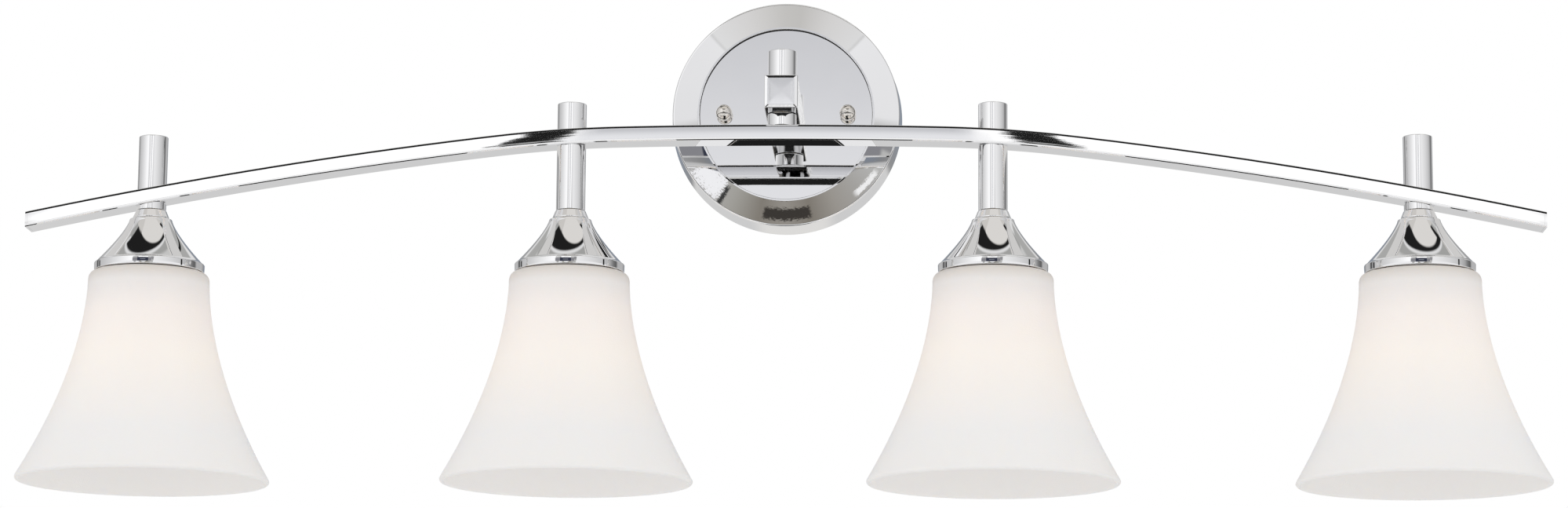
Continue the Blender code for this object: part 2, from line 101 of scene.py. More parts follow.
class Value:
    """A node's output socket, which Python's operators turn into Math nodes."""

    def __init__(self, graph: "NodeGraph", socket: bpy.types.NodeSocket | None) -> None:
        """Wraps one output socket of the graph, or none for a node that ends a tree."""
        self.graph = graph
        self.socket = socket

    def other(self, name: str) -> "Value":
        """Another output of the same node."""
        return Value(self.graph, self.socket.node.outputs[name])

    def math(self, operation: str, *operands: "Value | float") -> "Value":
        """A Math node on this value and the operands."""
        return self.graph.math(operation, self, *operands)

    __add__ = __radd__ = by_node("ADD")
    __sub__ = by_node("SUBTRACT")
    __mul__ = __rmul__ = by_node("MULTIPLY")
    __truediv__ = by_node("DIVIDE")
    least = by_node("MINIMUM")
    most = by_node("MAXIMUM")

    def __rsub__(self, other: float) -> "Value":
        """A number minus this value."""
        return self.graph.math("SUBTRACT", other, self)

    def __neg__(self) -> "Value":
        """This value with its sign changed."""
        return self.math("MULTIPLY", -1.0)

    def __abs__(self) -> "Value":
        """The size of this value."""
        return self.math("ABSOLUTE")

    def rise(self, low: float, high: float) -> "Value":
        """A smooth step from 0 at low to 1 at high."""
        values = {"Value": self, "From Min": low, "From Max": high}
        return self.graph.add("ShaderNodeMapRange", {"interpolation_type": "SMOOTHSTEP"}, values)

    def band(self, low: float, high: float, soft: float) -> "Value":
        """1 between low and high, fading to 0 over soft on each side of both."""
        return self.rise(low - soft, low + soft) * (1 - self.rise(high - soft, high + soft))


class NodeGraph:
    """Adds nodes to one node tree, for a material, the world or Geometry Nodes."""

    def __init__(self, tree: bpy.types.NodeTree) -> None:
        """Takes the tree that the nodes go into."""
        self.tree = tree

    @staticmethod
    def _socket(sockets: Sequence[bpy.types.NodeSocket], key: int | str) -> bpy.types.NodeSocket:
        """The socket at a place, or with an identifier or a name."""
        if isinstance(key, str):
            for socket in sockets:
                if socket.identifier == key:
                    return socket
        return sockets[key]

    def add(
        self,
        kind: str,
        settings: dict | None = None,
        values: dict | Sequence | None = None,
        output: int | str = 0,
    ) -> Value:
        """Adds a node.

        Args:
            kind: The node's type.
            settings: Its properties, set first. "stops" are a ramp's (place, colour) pairs.
            values: Its sockets' values or links, by name, identifier or order.
            output: Which output to hand back.

        Returns:
            The output asked for.
        """
        node = self.tree.nodes.new(kind)
        for name, setting in (settings or {}).items():
            if name == "stops":
                self._set_stops(node.color_ramp, setting)
            else:
                setattr(node, name, setting)
        pairs = values.items() if isinstance(values, dict) else enumerate(values or ())
        for key, value in pairs:
            socket = self._socket(node.inputs, key)
            for link in value if isinstance(value, list) else [value]:
                if isinstance(link, Value):
                    self.tree.links.new(link.socket, socket)
                else:
                    socket.default_value = link
        return Value(self, self._socket(node.outputs, output) if node.outputs else None)

    @staticmethod
    def _set_stops(ramp: bpy.types.ColorRamp, stops: Sequence[tuple[float, Colour]]) -> None:
        """Gives a colour ramp its stops, in rising order."""
        for place, colour in stops[1:-1]:
            ramp.elements.new(place).color = (*colour, 1)
        for end in (0, -1):
            ramp.elements[end].position = stops[end][0]
            ramp.elements[end].color = (*stops[end][1], 1)

    def math(self, operation: str, *operands: Value | float) -> Value:
        """A Math node."""
        return self.add("ShaderNodeMath", {"operation": operation}, operands)

    def blend(
        self, share: Value | float, first: "Value | Colour", second: "Value | Colour"
    ) -> Value:
        """A colour that goes from the first to the second as share goes from 0 to 1."""
        values = {"Factor_Float": share}
        for key, colour in (("A_Color", first), ("B_Color", second)):
            values[key] = colour if isinstance(colour, Value) else (*colour, 1)
        return self.add("ShaderNodeMix", {"data_type": "RGBA"}, values, "Result_Color")

    def ramp(self, place: Value, stops: Sequence[tuple[float, Colour]]) -> Value:
        """The colour at a place along a colour ramp."""
        return self.add("ShaderNodeValToRGB", {"stops": stops}, [place])

    def noise(
        self, place: Value, scale: float, detail: float = 2.0, stretch: Triple = (1, 1, 1)
    ) -> Value:
        """Noise from 0 to 1 at a place, with an optional stretch along each axis."""
        mapped = self.add("ShaderNodeMapping", None, {"Vector": place, "Scale": stretch})
        values = {"Vector": mapped, "Scale": scale, "Detail": detail}
        return self.add("ShaderNodeTexNoise", None, values)

    def bump(self, height: Value, distance: float, strength: float = 1.0) -> Value:
        """A normal that follows a height, which counts in the distance given."""
        values = {"Strength": strength, "Distance": distance, "Height": height}
        return self.add("ShaderNodeBump", None, values)


# ---------------------------------------------------------------- finishes


@dataclass(frozen=True)
class Finish:
    """A finish with its record slot. Each kind of finish says how its surface varies."""

    name: str
    slot: str

    def material(self) -> bpy.types.Material:
        """The finish's material, made the first time that it is asked for."""
        found = bpy.data.materials.get(self.name)
        if found:
            return found
        made = bpy.data.materials.new(self.name)
        made.use_nodes = True
        made.node_tree.nodes.clear()
        graph = NodeGraph(made.node_tree)
        place = graph.add("ShaderNodeTexCoord", None, None, "Object")
        shader = graph.add("ShaderNodeBsdfPrincipled", None, self.sockets(graph, place))
        graph.add("ShaderNodeOutputMaterial", None, {"Surface": shader})
        return made

    def sockets(self, graph: NodeGraph, place: Value) -> dict:
        """The shader's sockets: values, and links for what varies over the surface."""
        raise NotImplementedError


@dataclass(frozen=True)
class Plate(Finish):
    """Plated or bare metal: small changes of tone and gloss, faint ripples and fine scratches."""

    colour: Colour = (0.88, 0.88, 0.885)
    shade: Colour = (0.85, 0.85, 0.858)
    roughness: float = 0.012
    spread: float = 0.012
    cloud_scale: float = 35.0
    ripple_scale: float = 60.0
    ripple: float = 0.0008
    grain: Triple = (1, 1, 1)
    grain_scale: float = 900.0
    grain_depth: float = 0.00003
    relief: float = 0.01

    def sockets(self, graph: NodeGraph, place: Value) -> dict:
        """Tone, gloss and normal vary over the metal."""
        cloud = graph.noise(place, self.cloud_scale, 3.0)
        ripple = graph.noise(place, self.ripple_scale, 1.0)
        grain = graph.noise(place, self.grain_scale, 2.0, self.grain)
        height = ripple * self.ripple + grain * self.grain_depth
        return {
            "Base Color": graph.blend(cloud, self.colour, self.shade),
            "Metallic": 1.0,
            "Roughness": self.roughness + self.spread * grain,
            "Normal": graph.bump(height, self.relief),
        }


@dataclass(frozen=True)
class Opal(Finish):
    """White glass with a satin surface: cloudy in its depth, and lit warmly from inside.

    The glow's colour is given by heights, as shares of the way from the rim to the top.
    """

    colour: Colour = (0.93, 0.905, 0.88)
    cloud: Colour = (0.90, 0.885, 0.865)
    # Painted shade: the darker colour the glass takes near its top, standing for the cup's shadow.
    shoulder: Colour = (0.74, 0.70, 0.66)
    roughness: float = 0.38
    spread: float = 0.10
    # Painted light: the strength of the warm emission glow that stands in for light from inside the
    # shade.
    glow: float = 0.2
    glow_drift: float = 0.05
    rim_height: float = -0.2171
    top_height: float = -0.1010
    # Where the painted shade near the top starts and where it is full, down from the top.
    shoulder_start: float = 9 * MM
    shoulder_end: float = 0.5 * MM
    cloud_scale: float = 14.0
    grain_scale: float = 1400.0
    relief: float = 0.2 * MM
    relief_strength: float = 0.35
    depth_share: float = 0.35
    depth_radius: Triple = (6 * MM, 5 * MM, 4 * MM)
    # Painted light: the glow's colours by height, brightest in the middle and darker at the rim and
    # under the cup.
    glow_stops: tuple[tuple[float, Colour], ...] = (
        (0.00, (0.28, 0.27, 0.28)), (0.20, (0.28, 0.29, 0.34)), (0.38, (0.56, 0.44, 0.36)),
        (0.58, (0.85, 0.64, 0.44)), (0.80, (0.76, 0.52, 0.40)), (0.93, (0.30, 0.20, 0.16)),
        (1.00, (0.10, 0.07, 0.05)),
    )

    def sockets(self, graph: NodeGraph, place: Value) -> dict:
        """Tone, gloss, glow and a faint satin grain vary over the glass."""
        height = graph.add("ShaderNodeSeparateXYZ", None, [place], "Z")
        cloud = graph.noise(place, self.cloud_scale, 2.0)
        grain = graph.noise(place, self.grain_scale, 1.0)
        share = (height - self.rim_height) / (self.top_height - self.rim_height)
        glow = graph.ramp(share + (cloud - 0.5) * self.glow_drift, self.glow_stops)
        top = self.top_height
        # Painted shade: the glass darkens towards its top, under the cup.
        painted_top_shade = height.rise(top - self.shoulder_start, top - self.shoulder_end)
        body = graph.blend(cloud, self.colour, self.cloud)
        return {
            "Base Color": graph.blend(painted_top_shade, body, self.shoulder),
            "Roughness": self.roughness + self.spread * grain,
            "IOR": 1.5,
            "Subsurface Weight": self.depth_share,
            "Subsurface Radius": self.depth_radius,
            "Subsurface Scale": 1.0,
            "Emission Color": glow,
            "Emission Strength": self.glow,
            "Normal": graph.bump(grain, self.relief, self.relief_strength),
        }


@dataclass(frozen=True)
class Moulding(Finish):
    """Moulded plastic, paint or frosted lamp glass: a fine grain and a little change of tone."""

    colour: Colour = (0.03, 0.03, 0.032)
    shade: Colour = (0.055, 0.052, 0.05)
    roughness: float = 0.42
    spread: float = 0.18
    cloud_scale: float = 90.0
    grain_scale: float = 1100.0
    relief: float = 0.2 * MM
    relief_strength: float = 0.4
    coat: float = 0.0

    def sockets(self, graph: NodeGraph, place: Value) -> dict:
        """Tone, gloss and grain vary over the surface."""
        cloud = graph.noise(place, self.cloud_scale, 3.0)
        grain = graph.noise(place, self.grain_scale, 2.0)
        return {
            "Base Color": graph.blend(cloud, self.colour, self.shade),
            "Roughness": self.roughness + self.spread * grain,
            "Coat Weight": self.coat,
            "Normal": graph.bump(grain, self.relief, self.relief_strength),
        }


CHROME = Plate("polished_chrome", "chrome")
SATIN_CHROME = Plate(
    "satin_chrome", "chrome", roughness=0.04, spread=0.08, grain=(1, 1, 0.03), grain_depth=0.0012
)
# Painted shadow: a near-black plate finish for the step inside the canopy's lip, in place of the
# shadow gap there.
SEAM_PAINTED_SHADOW = Plate(
    "seam_painted_shadow", "chrome", colour=(0.02, 0.02, 0.022), shade=(0.01, 0.01, 0.01), roughness=0.45
)
NICKEL_BALL = Plate(
    "ball_nut_chrome", "chrome", colour=(0.80, 0.77, 0.73), shade=(0.72, 0.69, 0.65), roughness=0.06
)
ZINC = Plate(
    "zinc_plate", "zinc_steel", colour=(0.68, 0.69, 0.70), shade=(0.52, 0.54, 0.57),
    roughness=0.26, spread=0.22, ripple=0.008, grain_depth=0.006,
)
BRASS = Plate(
    "yellow_brass", "brass", colour=(0.76, 0.58, 0.28), shade=(0.62, 0.45, 0.20),
    roughness=0.22, spread=0.20, grain_depth=0.004,
)
CAP_METAL = Plate(
    "lamp_cap_metal", "bulb_cap_metal", colour=(0.80, 0.78, 0.72), shade=(0.66, 0.64, 0.60),
    roughness=0.20, spread=0.18, grain_depth=0.003,
)
OPAL_GLASS = Opal("satin_opal_glass", "opal_glass")
PHENOLIC = Moulding("black_phenolic", "black_plastic")
LAMP_GLASS = Moulding(
    "frosted_lamp_glass", "bulb_glass", colour=(0.93, 0.91, 0.88), shade=(0.88, 0.86, 0.83),
    roughness=0.30, spread=0.10, coat=0.3,
)
GREEN_PAINT = Moulding(
    "green_screw_paint", "green_screw", colour=(0.03, 0.26, 0.09), shade=(0.05, 0.34, 0.13),
    roughness=0.28, spread=0.15, coat=0.4,
)


# ---------------------------------------------------------------- meshes


class Facing(Enum):
    """The direction in which a turned piece's heights run."""

    UP = "up"
    ROOM = "room"


@dataclass(frozen=True)
class Envelope:
    """The box of one or more solids of the frame, at rest."""

    low: Vector
    high: Vector

    @classmethod
    def of(cls, *nodes: str) -> "Envelope":
        """The box round the named solids."""
        boxes = [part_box(node) for node in nodes]
        low = Vector(min(box[0][i] for box in boxes) for i in range(3))
        high = Vector(max(box[1][i] for box in boxes) for i in range(3))
        return cls(low, high)

    @property
    def centre(self) -> Vector:
        """The middle of the box."""
        return (self.low + self.high) / 2

    @property
    def size(self) -> Vector:
        """The box's width, depth and height."""
        return self.high - self.low

    @property
    def radius(self) -> float:
        """Half the box's width."""
        return self.size.x / 2


def rounded(
    corners: Sequence[Triple], steps: int = 5, hold: float = 0.12 * MM, most_of_edge: float = 0.48
) -> Outline:
    """Rounds the corners of a closed outline.

    Args:
        corners: Each corner as (radius, height, rounding radius).
        steps: Facets in each rounding.
        hold: How far from a rounding the extra point that keeps the flat beside it flat lies.
        most_of_edge: The most of the shorter edge beside a corner that its rounding takes.

    Returns:
        The outline as (radius, height) points.
    """
    outline: Outline = []
    for index, (radius, height, rounding) in enumerate(corners):
        here = Vector((radius, height))
        before = Vector(corners[index - 1][:2]) - here
        after = Vector(corners[(index + 1) % len(corners)][:2]) - here
        if rounding <= 0:
            outline.append((radius, height))
            continue
        opening = before.angle(after)
        reach = rounding / math.tan(opening / 2)
        most = most_of_edge * min(before.length, after.length)
        if reach > most:
            rounding *= most / reach
            reach = most
        inward = (before.normalized() + after.normalized()).normalized()
        centre = here + inward * rounding / math.sin(opening / 2)
        start = here + before.normalized() * reach
        end = here + after.normalized() * reach
        turn = (start - centre).angle_signed(end - centre)
        outline.append(tuple(start + before.normalized() * hold))
        for step in range(steps + 1):
            spoke = (start - centre).copy()
            spoke.rotate(Matrix.Rotation(-turn * step / steps, 2))
            outline.append(tuple(centre + spoke))
        outline.append(tuple(end + after.normalized() * hold))
    return outline


def shares(steps: int) -> list[float]:
    """Even shares of a way, from 0 to 1."""
    return [step / steps for step in range(steps + 1)]


def outward(bm: bmesh.types.BMesh) -> None:
    """Turns every face of a closed mesh outwards."""
    bmesh.ops.remove_doubles(bm, verts=bm.verts, dist=WELD)
    bmesh.ops.recalc_face_normals(bm, faces=bm.faces)
    if bm.calc_volume(signed=True) < 0:
        bmesh.ops.reverse_faces(bm, faces=bm.faces)


def new_piece(name: str, bm: bmesh.types.BMesh, finish: Finish) -> bpy.types.Object:
    """Makes a smooth-shaded object of a mesh and dresses it.

    Args:
        name: The piece's name.
        bm: The mesh, which is used up.
        finish: What it is dressed in.

    Returns:
        The object, at the origin.
    """
    mesh = bpy.data.meshes.new(name)
    bm.to_mesh(mesh)
    bm.free()
    mesh.shade_smooth()
    mesh.materials.append(finish.material())
    piece = bpy.data.objects.new(name, mesh)
    bpy.context.scene.collection.objects.link(piece)
    return piece


def settle(piece: bpy.types.Object, body: str, finish: Finish, *nodes: str) -> None:
    """Puts a piece on its body, in its slot, in place of the solids that it stands for."""
    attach(piece, body)
    if nodes:
        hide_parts(*nodes)
    LOG.info("%s: %d faces, on %s", piece.name, len(piece.data.polygons), body)


def turned_mesh(
    outline: Outline, centre: Point2, facing: Facing = Facing.UP, steps: int = 96
) -> bmesh.types.BMesh:
    """Turns a closed outline into a closed mesh.

    Args:
        outline: (radius, height) points. Heights are in the frame: Z, or -Y if facing the room.
        centre: Where the axis stands: (x, y), or (x, z) if it faces the room.
        facing: The direction in which heights run.
        steps: Facets round the axis.

    Returns:
        The mesh, with its faces outwards.
    """
    bm = bmesh.new()
    rings = []
    for radius, height in outline:
        ring = []
        for step in range(steps if radius > ON_AXIS else 1):
            across = radius * math.cos(FULL_TURN * step / steps)
            along = radius * math.sin(FULL_TURN * step / steps)
            if facing is Facing.UP:
                place = (centre[0] + across, centre[1] + along, height)
            else:
                place = (centre[0] + across, -height, centre[1] + along)
            ring.append(bm.verts.new(place))
        rings.append(ring)
    for near, far in zip(rings, rings[1:] + rings[:1]):
        for step in range(steps):
            corners = []
            for ring, index in ((near, step), (near, step + 1), (far, step + 1), (far, step)):
                vert = ring[index % len(ring)]
                if vert not in corners:
                    corners.append(vert)
            if len(corners) > 2:
                bm.faces.new(corners)
    outward(bm)
    return bm


# ---------------------------------------------------------------- geometry nodes


FLOAT, INT = "NodeSocketFloat", "NodeSocketInt"
VECTOR, MATERIAL = "NodeSocketVector", "NodeSocketMaterial"


class NodeShape:
    """A Geometry Nodes tree with named inputs, whose result becomes a plain mesh."""

    def __init__(self, name: str, inputs: dict[str, str]) -> None:
        """Makes the tree and its inputs.

        Args:
            name: The tree's name.
            inputs: Each input's name and its socket type. A finish is added to them.
        """
        self.tree = bpy.data.node_groups.new(name, "GeometryNodeTree")
        self.graph = NodeGraph(self.tree)
        self.idents: dict[str, str] = {}
        face = self.tree.interface
        face.new_socket("Geometry", in_out="OUTPUT", socket_type="NodeSocketGeometry")
        face.new_socket("Geometry", in_out="INPUT", socket_type="NodeSocketGeometry")
        for label, kind in {**inputs, "Finish": MATERIAL}.items():
            self.idents[label] = face.new_socket(label, in_out="INPUT", socket_type=kind).identifier
        self.start = self.graph.add("NodeGroupInput")

    def __getitem__(self, label: str) -> Value:
        """The named input."""
        return self.start.other(label)

    def end(self, shape: Value) -> None:
        """Realizes the shape, dresses it and makes it the tree's result."""
        real = self.graph.add("GeometryNodeRealizeInstances", None, [shape])
        dressed = self.graph.add(
            "GeometryNodeSetMaterial", None, {"Geometry": real, "Material": self["Finish"]}
        )
        self.graph.add("NodeGroupOutput", None, [dressed])

    def make(
        self, name: str, base: bmesh.types.BMesh, finish: Finish, sizes: dict
    ) -> bpy.types.Object:
        """Runs the tree on a base mesh.

        Args:
            name: The new piece's name.
            base: What the tree starts from, which is used up.
            finish: What the piece is dressed in.
            sizes: The value of each other named input.

        Returns:
            The piece, as a plain mesh.
        """
        holder = new_piece(f"{name}_base", base, finish)
        modifier = holder.modifiers.new("shape", "NODES")
        modifier.node_group = self.tree
        for label, value in {**sizes, "Finish": finish.material()}.items():
            modifier[self.idents[label]] = value
        graph = bpy.context.evaluated_depsgraph_get()
        mesh = bpy.data.meshes.new_from_object(
            holder.evaluated_get(graph), preserve_all_data_layers=True, depsgraph=graph
        )
        holder.modifiers.remove(modifier)
        bpy.data.objects.remove(holder)
        mesh.name = name
        bm = bmesh.new()
        bm.from_mesh(mesh)
        outward(bm)
        bm.to_mesh(mesh)
        bm.free()
        mesh.shade_smooth()
        piece = bpy.data.objects.new(name, mesh)
        bpy.context.scene.collection.objects.link(piece)
        return piece


class ArchTree(NodeShape):
    """Sweeps a section along X and lets it down from its crown by three tangent arcs."""

    SIZES = (
        "Left", "Right", "Axis Depth", "Top", "Crown Half", "Crown Bend",
        "Shoulder End", "Shoulder Bend", "Tail Bend",
    )

    def __init__(self) -> None:
        """Builds the tree: a straight sweep, then each point's drop."""
        super().__init__("arched_bar", {**dict.fromkeys(self.SIZES, FLOAT), "Stations": INT})
        graph = self.graph
        ends = [
            graph.add("ShaderNodeCombineXYZ", None, {"X": self[side]}) for side in ("Left", "Right")
        ]
        line = graph.add("GeometryNodeCurvePrimitiveLine", None, {"Start": ends[0], "End": ends[1]})
        path = graph.add(
            "GeometryNodeResampleCurve", None, {"Curve": line, "Count": self["Stations"]}
        )
        path = graph.add("GeometryNodeSetCurveNormal", {"mode": "Z_UP"}, {"Curve": path})
        section = graph.add("GeometryNodeMeshToCurve", None, [self["Geometry"]])
        values = {"Curve": path, "Profile Curve": section, "Fill Caps": True}
        sweep = graph.add("GeometryNodeCurveToMesh", None, values)
        place = graph.add("GeometryNodeInputPosition")
        across = abs(graph.add("ShaderNodeSeparateXYZ", None, [place], "X"))
        drop = slope = start = 0.0
        for end, bend in (
            (self["Crown Half"], self["Crown Bend"]),
            (self["Shoulder End"], self["Shoulder Bend"]),
            (None, self["Tail Bend"]),
        ):
            reach = across if end is None else across.least(end)
            run = (reach - start).most(0.0)
            drop = run * run / (bend * 2.0) + run * slope + drop
            slope = run / bend + slope
            start = end
        values = {"Y": -self["Axis Depth"], "Z": self["Top"] - drop}
        shift = graph.add("ShaderNodeCombineXYZ", None, values)
        self.end(graph.add("GeometryNodeSetPosition", None, {"Geometry": sweep, "Offset": shift}))


class ThreadTree(NodeShape):
    """Winds a ridge round the base piece as a screw thread."""

    def __init__(self) -> None:
        """Builds the tree: a spiral with a small section, joined to the base."""
        kinds = dict.fromkeys(("Radius", "Length", "Turns", "Ridge"), FLOAT)
        super().__init__("screw_thread", {**kinds, "Steps": INT, "Place": VECTOR, "Turn": VECTOR})
        graph = self.graph
        values = {
            "Resolution": self["Steps"], "Rotations": self["Turns"], "Start Radius": self["Radius"],
            "End Radius": self["Radius"], "Height": self["Length"],
        }
        spiral = graph.add("GeometryNodeCurveSpiral", None, values)
        values = {"Resolution": 6, "Radius": self["Ridge"]}
        section = graph.add("GeometryNodeCurvePrimitiveCircle", None, values)
        values = {"Curve": spiral, "Profile Curve": section, "Fill Caps": True}
        ridge = graph.add("GeometryNodeCurveToMesh", None, values)
        values = {"Geometry": ridge, "Translation": self["Place"], "Rotation": self["Turn"]}
        placed = graph.add("GeometryNodeTransform", None, values)
        shapes = [placed, self["Geometry"]]
        self.end(graph.add("GeometryNodeJoinGeometry", None, {"Geometry": shapes}))


class GripTree(NodeShape):
    """Sets a row of finger ribs round the base ring."""

    def __init__(self) -> None:
        """Builds the tree: ribs on a circle of points, joined to the base."""
        kinds = {"Radius": FLOAT, "Ribs": INT, "Rib Size": VECTOR, "Place": VECTOR}
        super().__init__("ring_grip", kinds)
        graph = self.graph
        values = {"Vertices": self["Ribs"], "Radius": self["Radius"]}
        circle = graph.add("GeometryNodeMeshCircle", None, values)
        rib = graph.add("GeometryNodeMeshCube", None, {"Size": self["Rib Size"]})
        place = graph.add("GeometryNodeInputPosition")
        turn = graph.add("FunctionNodeAlignRotationToVector", {"axis": "X"}, {"Vector": place})
        values = {"Points": circle, "Instance": rib, "Rotation": turn}
        ribs = graph.add("GeometryNodeInstanceOnPoints", None, values)
        values = {"Geometry": ribs, "Translation": self["Place"]}
        placed = graph.add("GeometryNodeTransform", None, values)
        shapes = [placed, self["Geometry"]]
        self.end(graph.add("GeometryNodeJoinGeometry", None, {"Geometry": shapes}))


# ---------------------------------------------------------------- sub-assemblies


@dataclass
class Canopy:
    """The pressed wall plate: side wall, sloping ring, raised lip and a mirror disc set back."""

    sheet: float = 1.1 * MM
    edge_radius: float = 1.3 * MM
    ring_inset: float = 1.3 * MM
    lip_width: float = 1.1 * MM
    step_width: float = 0.06 * MM
    sheet_step: float = 0.55 * MM
    lip_from_edge: float = 16.0 * MM
    ring_drop: float = 2.0 * MM
    disc_drop: float = 2.3 * MM
    curl: float = 0.5 * MM
    lip_eased: tuple[float, float] = (0.22 * MM, 0.35 * MM)
    hollow_under_lip: float = 0.3 * MM
    # Where the painted shadow inside the lip lies: how far it reaches either side of the step, and
    # from what depth.
    seam_reach: float = 0.22 * MM
    seam_start: float = 0.25 * MM
    ring_crown: float = 0.13 * MM
    crown_shares: tuple[float, ...] = (0.08, 0.2, 0.35, 0.5, 0.65, 0.8, 0.88)
    facets: int = 192
    box: Envelope = field(init=False)

    def __post_init__(self) -> None:
        """Reads the canopy's box."""
        self.box = Envelope.of("canopy")

    def outline(self) -> Outline:
        """The shell's closed section: (radius, distance from the wall)."""
        wall, front, back = self.box.radius, -self.box.low.y, -self.box.high.y
        lip = wall - self.lip_from_edge
        lip_in, lip_out = lip - self.lip_width / 2, lip + self.lip_width / 2
        edge = wall - self.ring_inset
        disc = front - self.disc_drop
        ring = front - self.ring_drop
        sheet = self.sheet
        inner, outer = self.lip_eased
        return rounded([
            (0, disc, SHARP),
            (lip_in - self.step_width, disc, 0.08 * MM),
            (lip_in, front, inner),
            (lip_out, front, outer),
            *self._crowned(lip_out, front, edge, ring),
            (edge, ring, self.edge_radius),
            (wall, back, self.curl),
            (wall - sheet, back, self.curl),
            (edge - sheet, ring - sheet, self.edge_radius / 2),
            (lip + self.hollow_under_lip, front - sheet, EASED),
            (lip - self.sheet_step, disc - sheet, EASED),
            (0, disc - sheet, SHARP),
        ], 6)

    def _crowned(self, near: float, high: float, far: float, low: float) -> list:
        """Points of the ring's faintly crowned slope, between its lip and its edge."""
        points = []
        for share in self.crown_shares:
            rise = self.ring_crown * 4 * share * (1 - share)
            height = high + (low - high) * share + rise
            points.append((near + (far - near) * share, height, SHARP))
        return points

    def build(self) -> None:
        """Makes the shell and puts it in place of the canopy's solid."""
        axis = (self.box.centre.x, self.box.centre.z)
        mesh = turned_mesh(self.outline(), axis, Facing.ROOM, self.facets)
        shell = new_piece("canopy_shell", mesh, CHROME)
        # Painted shadow on the step inside the lip.
        self._paint_seam_shadow(shell)
        settle(shell, "fixture", CHROME, "canopy")

    def _paint_seam_shadow(self, shell: bpy.types.Object) -> None:
        """Gives the narrow step inside the lip its dark, unpolished finish."""
        middle, front = self.box.centre, -self.box.low.y
        step = self.box.radius - self.lip_from_edge - self.lip_width / 2
        shell.data.materials.append(SEAM_PAINTED_SHADOW.material())
        for face in shell.data.polygons:
            radius = math.hypot(face.center.x - middle.x, face.center.z - middle.z)
            depth = front + face.center.y
            if abs(radius - step) < self.seam_reach and self.seam_start < depth < self.disc_drop:
                face.material_index = len(shell.data.materials) - 1


@dataclass
class CapNut:
    """A ball nut on a short waist and a thin foot, with a blind bore."""

    side: str
    waist: float = 3.0 * MM
    foot: float = 3.9 * MM
    foot_height: float = 0.7 * MM
    bore: float = 2.4 * MM
    roof: float = 2.9 * MM
    waist_length: float = 0.25 * MM
    foot_taper: float = 0.8
    ball_steps: int = 24

    def build(self) -> None:
        """Turns the ball nut and puts it in place of its solid."""
        node = f"cap_nut_{self.side}"
        box = Envelope.of(node)
        radius, base, top = box.radius, -box.high.y, -box.low.y
        centre = top - radius
        foot_top = base + self.foot_height
        meet = foot_top + self.waist_length
        first = -math.acos(min(1.0, self.waist / radius))
        first = max(first, -math.asin(min(1.0, (centre - meet) / radius)))
        ball = []
        for step in range(self.ball_steps, -1, -1):
            angle = first + (math.pi / 2 - first) * step / self.ball_steps
            ball.append((radius * math.cos(angle), centre + radius * math.sin(angle)))
        ball[0] = (0.0, top)
        outline = [
            *ball, (ball[-1][0], foot_top), (self.foot, base + self.foot_height * self.foot_taper),
            (self.foot, base), (self.bore, base), (self.bore, top - self.roof),
            (0.0, top - self.roof),
        ]
        mesh = turned_mesh(outline, (box.centre.x, box.centre.z), Facing.ROOM, 48)
        nut = new_piece(f"ball_nut_{self.side}", mesh, NICKEL_BALL)
        settle(nut, f"nut_{self.side}", NICKEL_BALL, node)


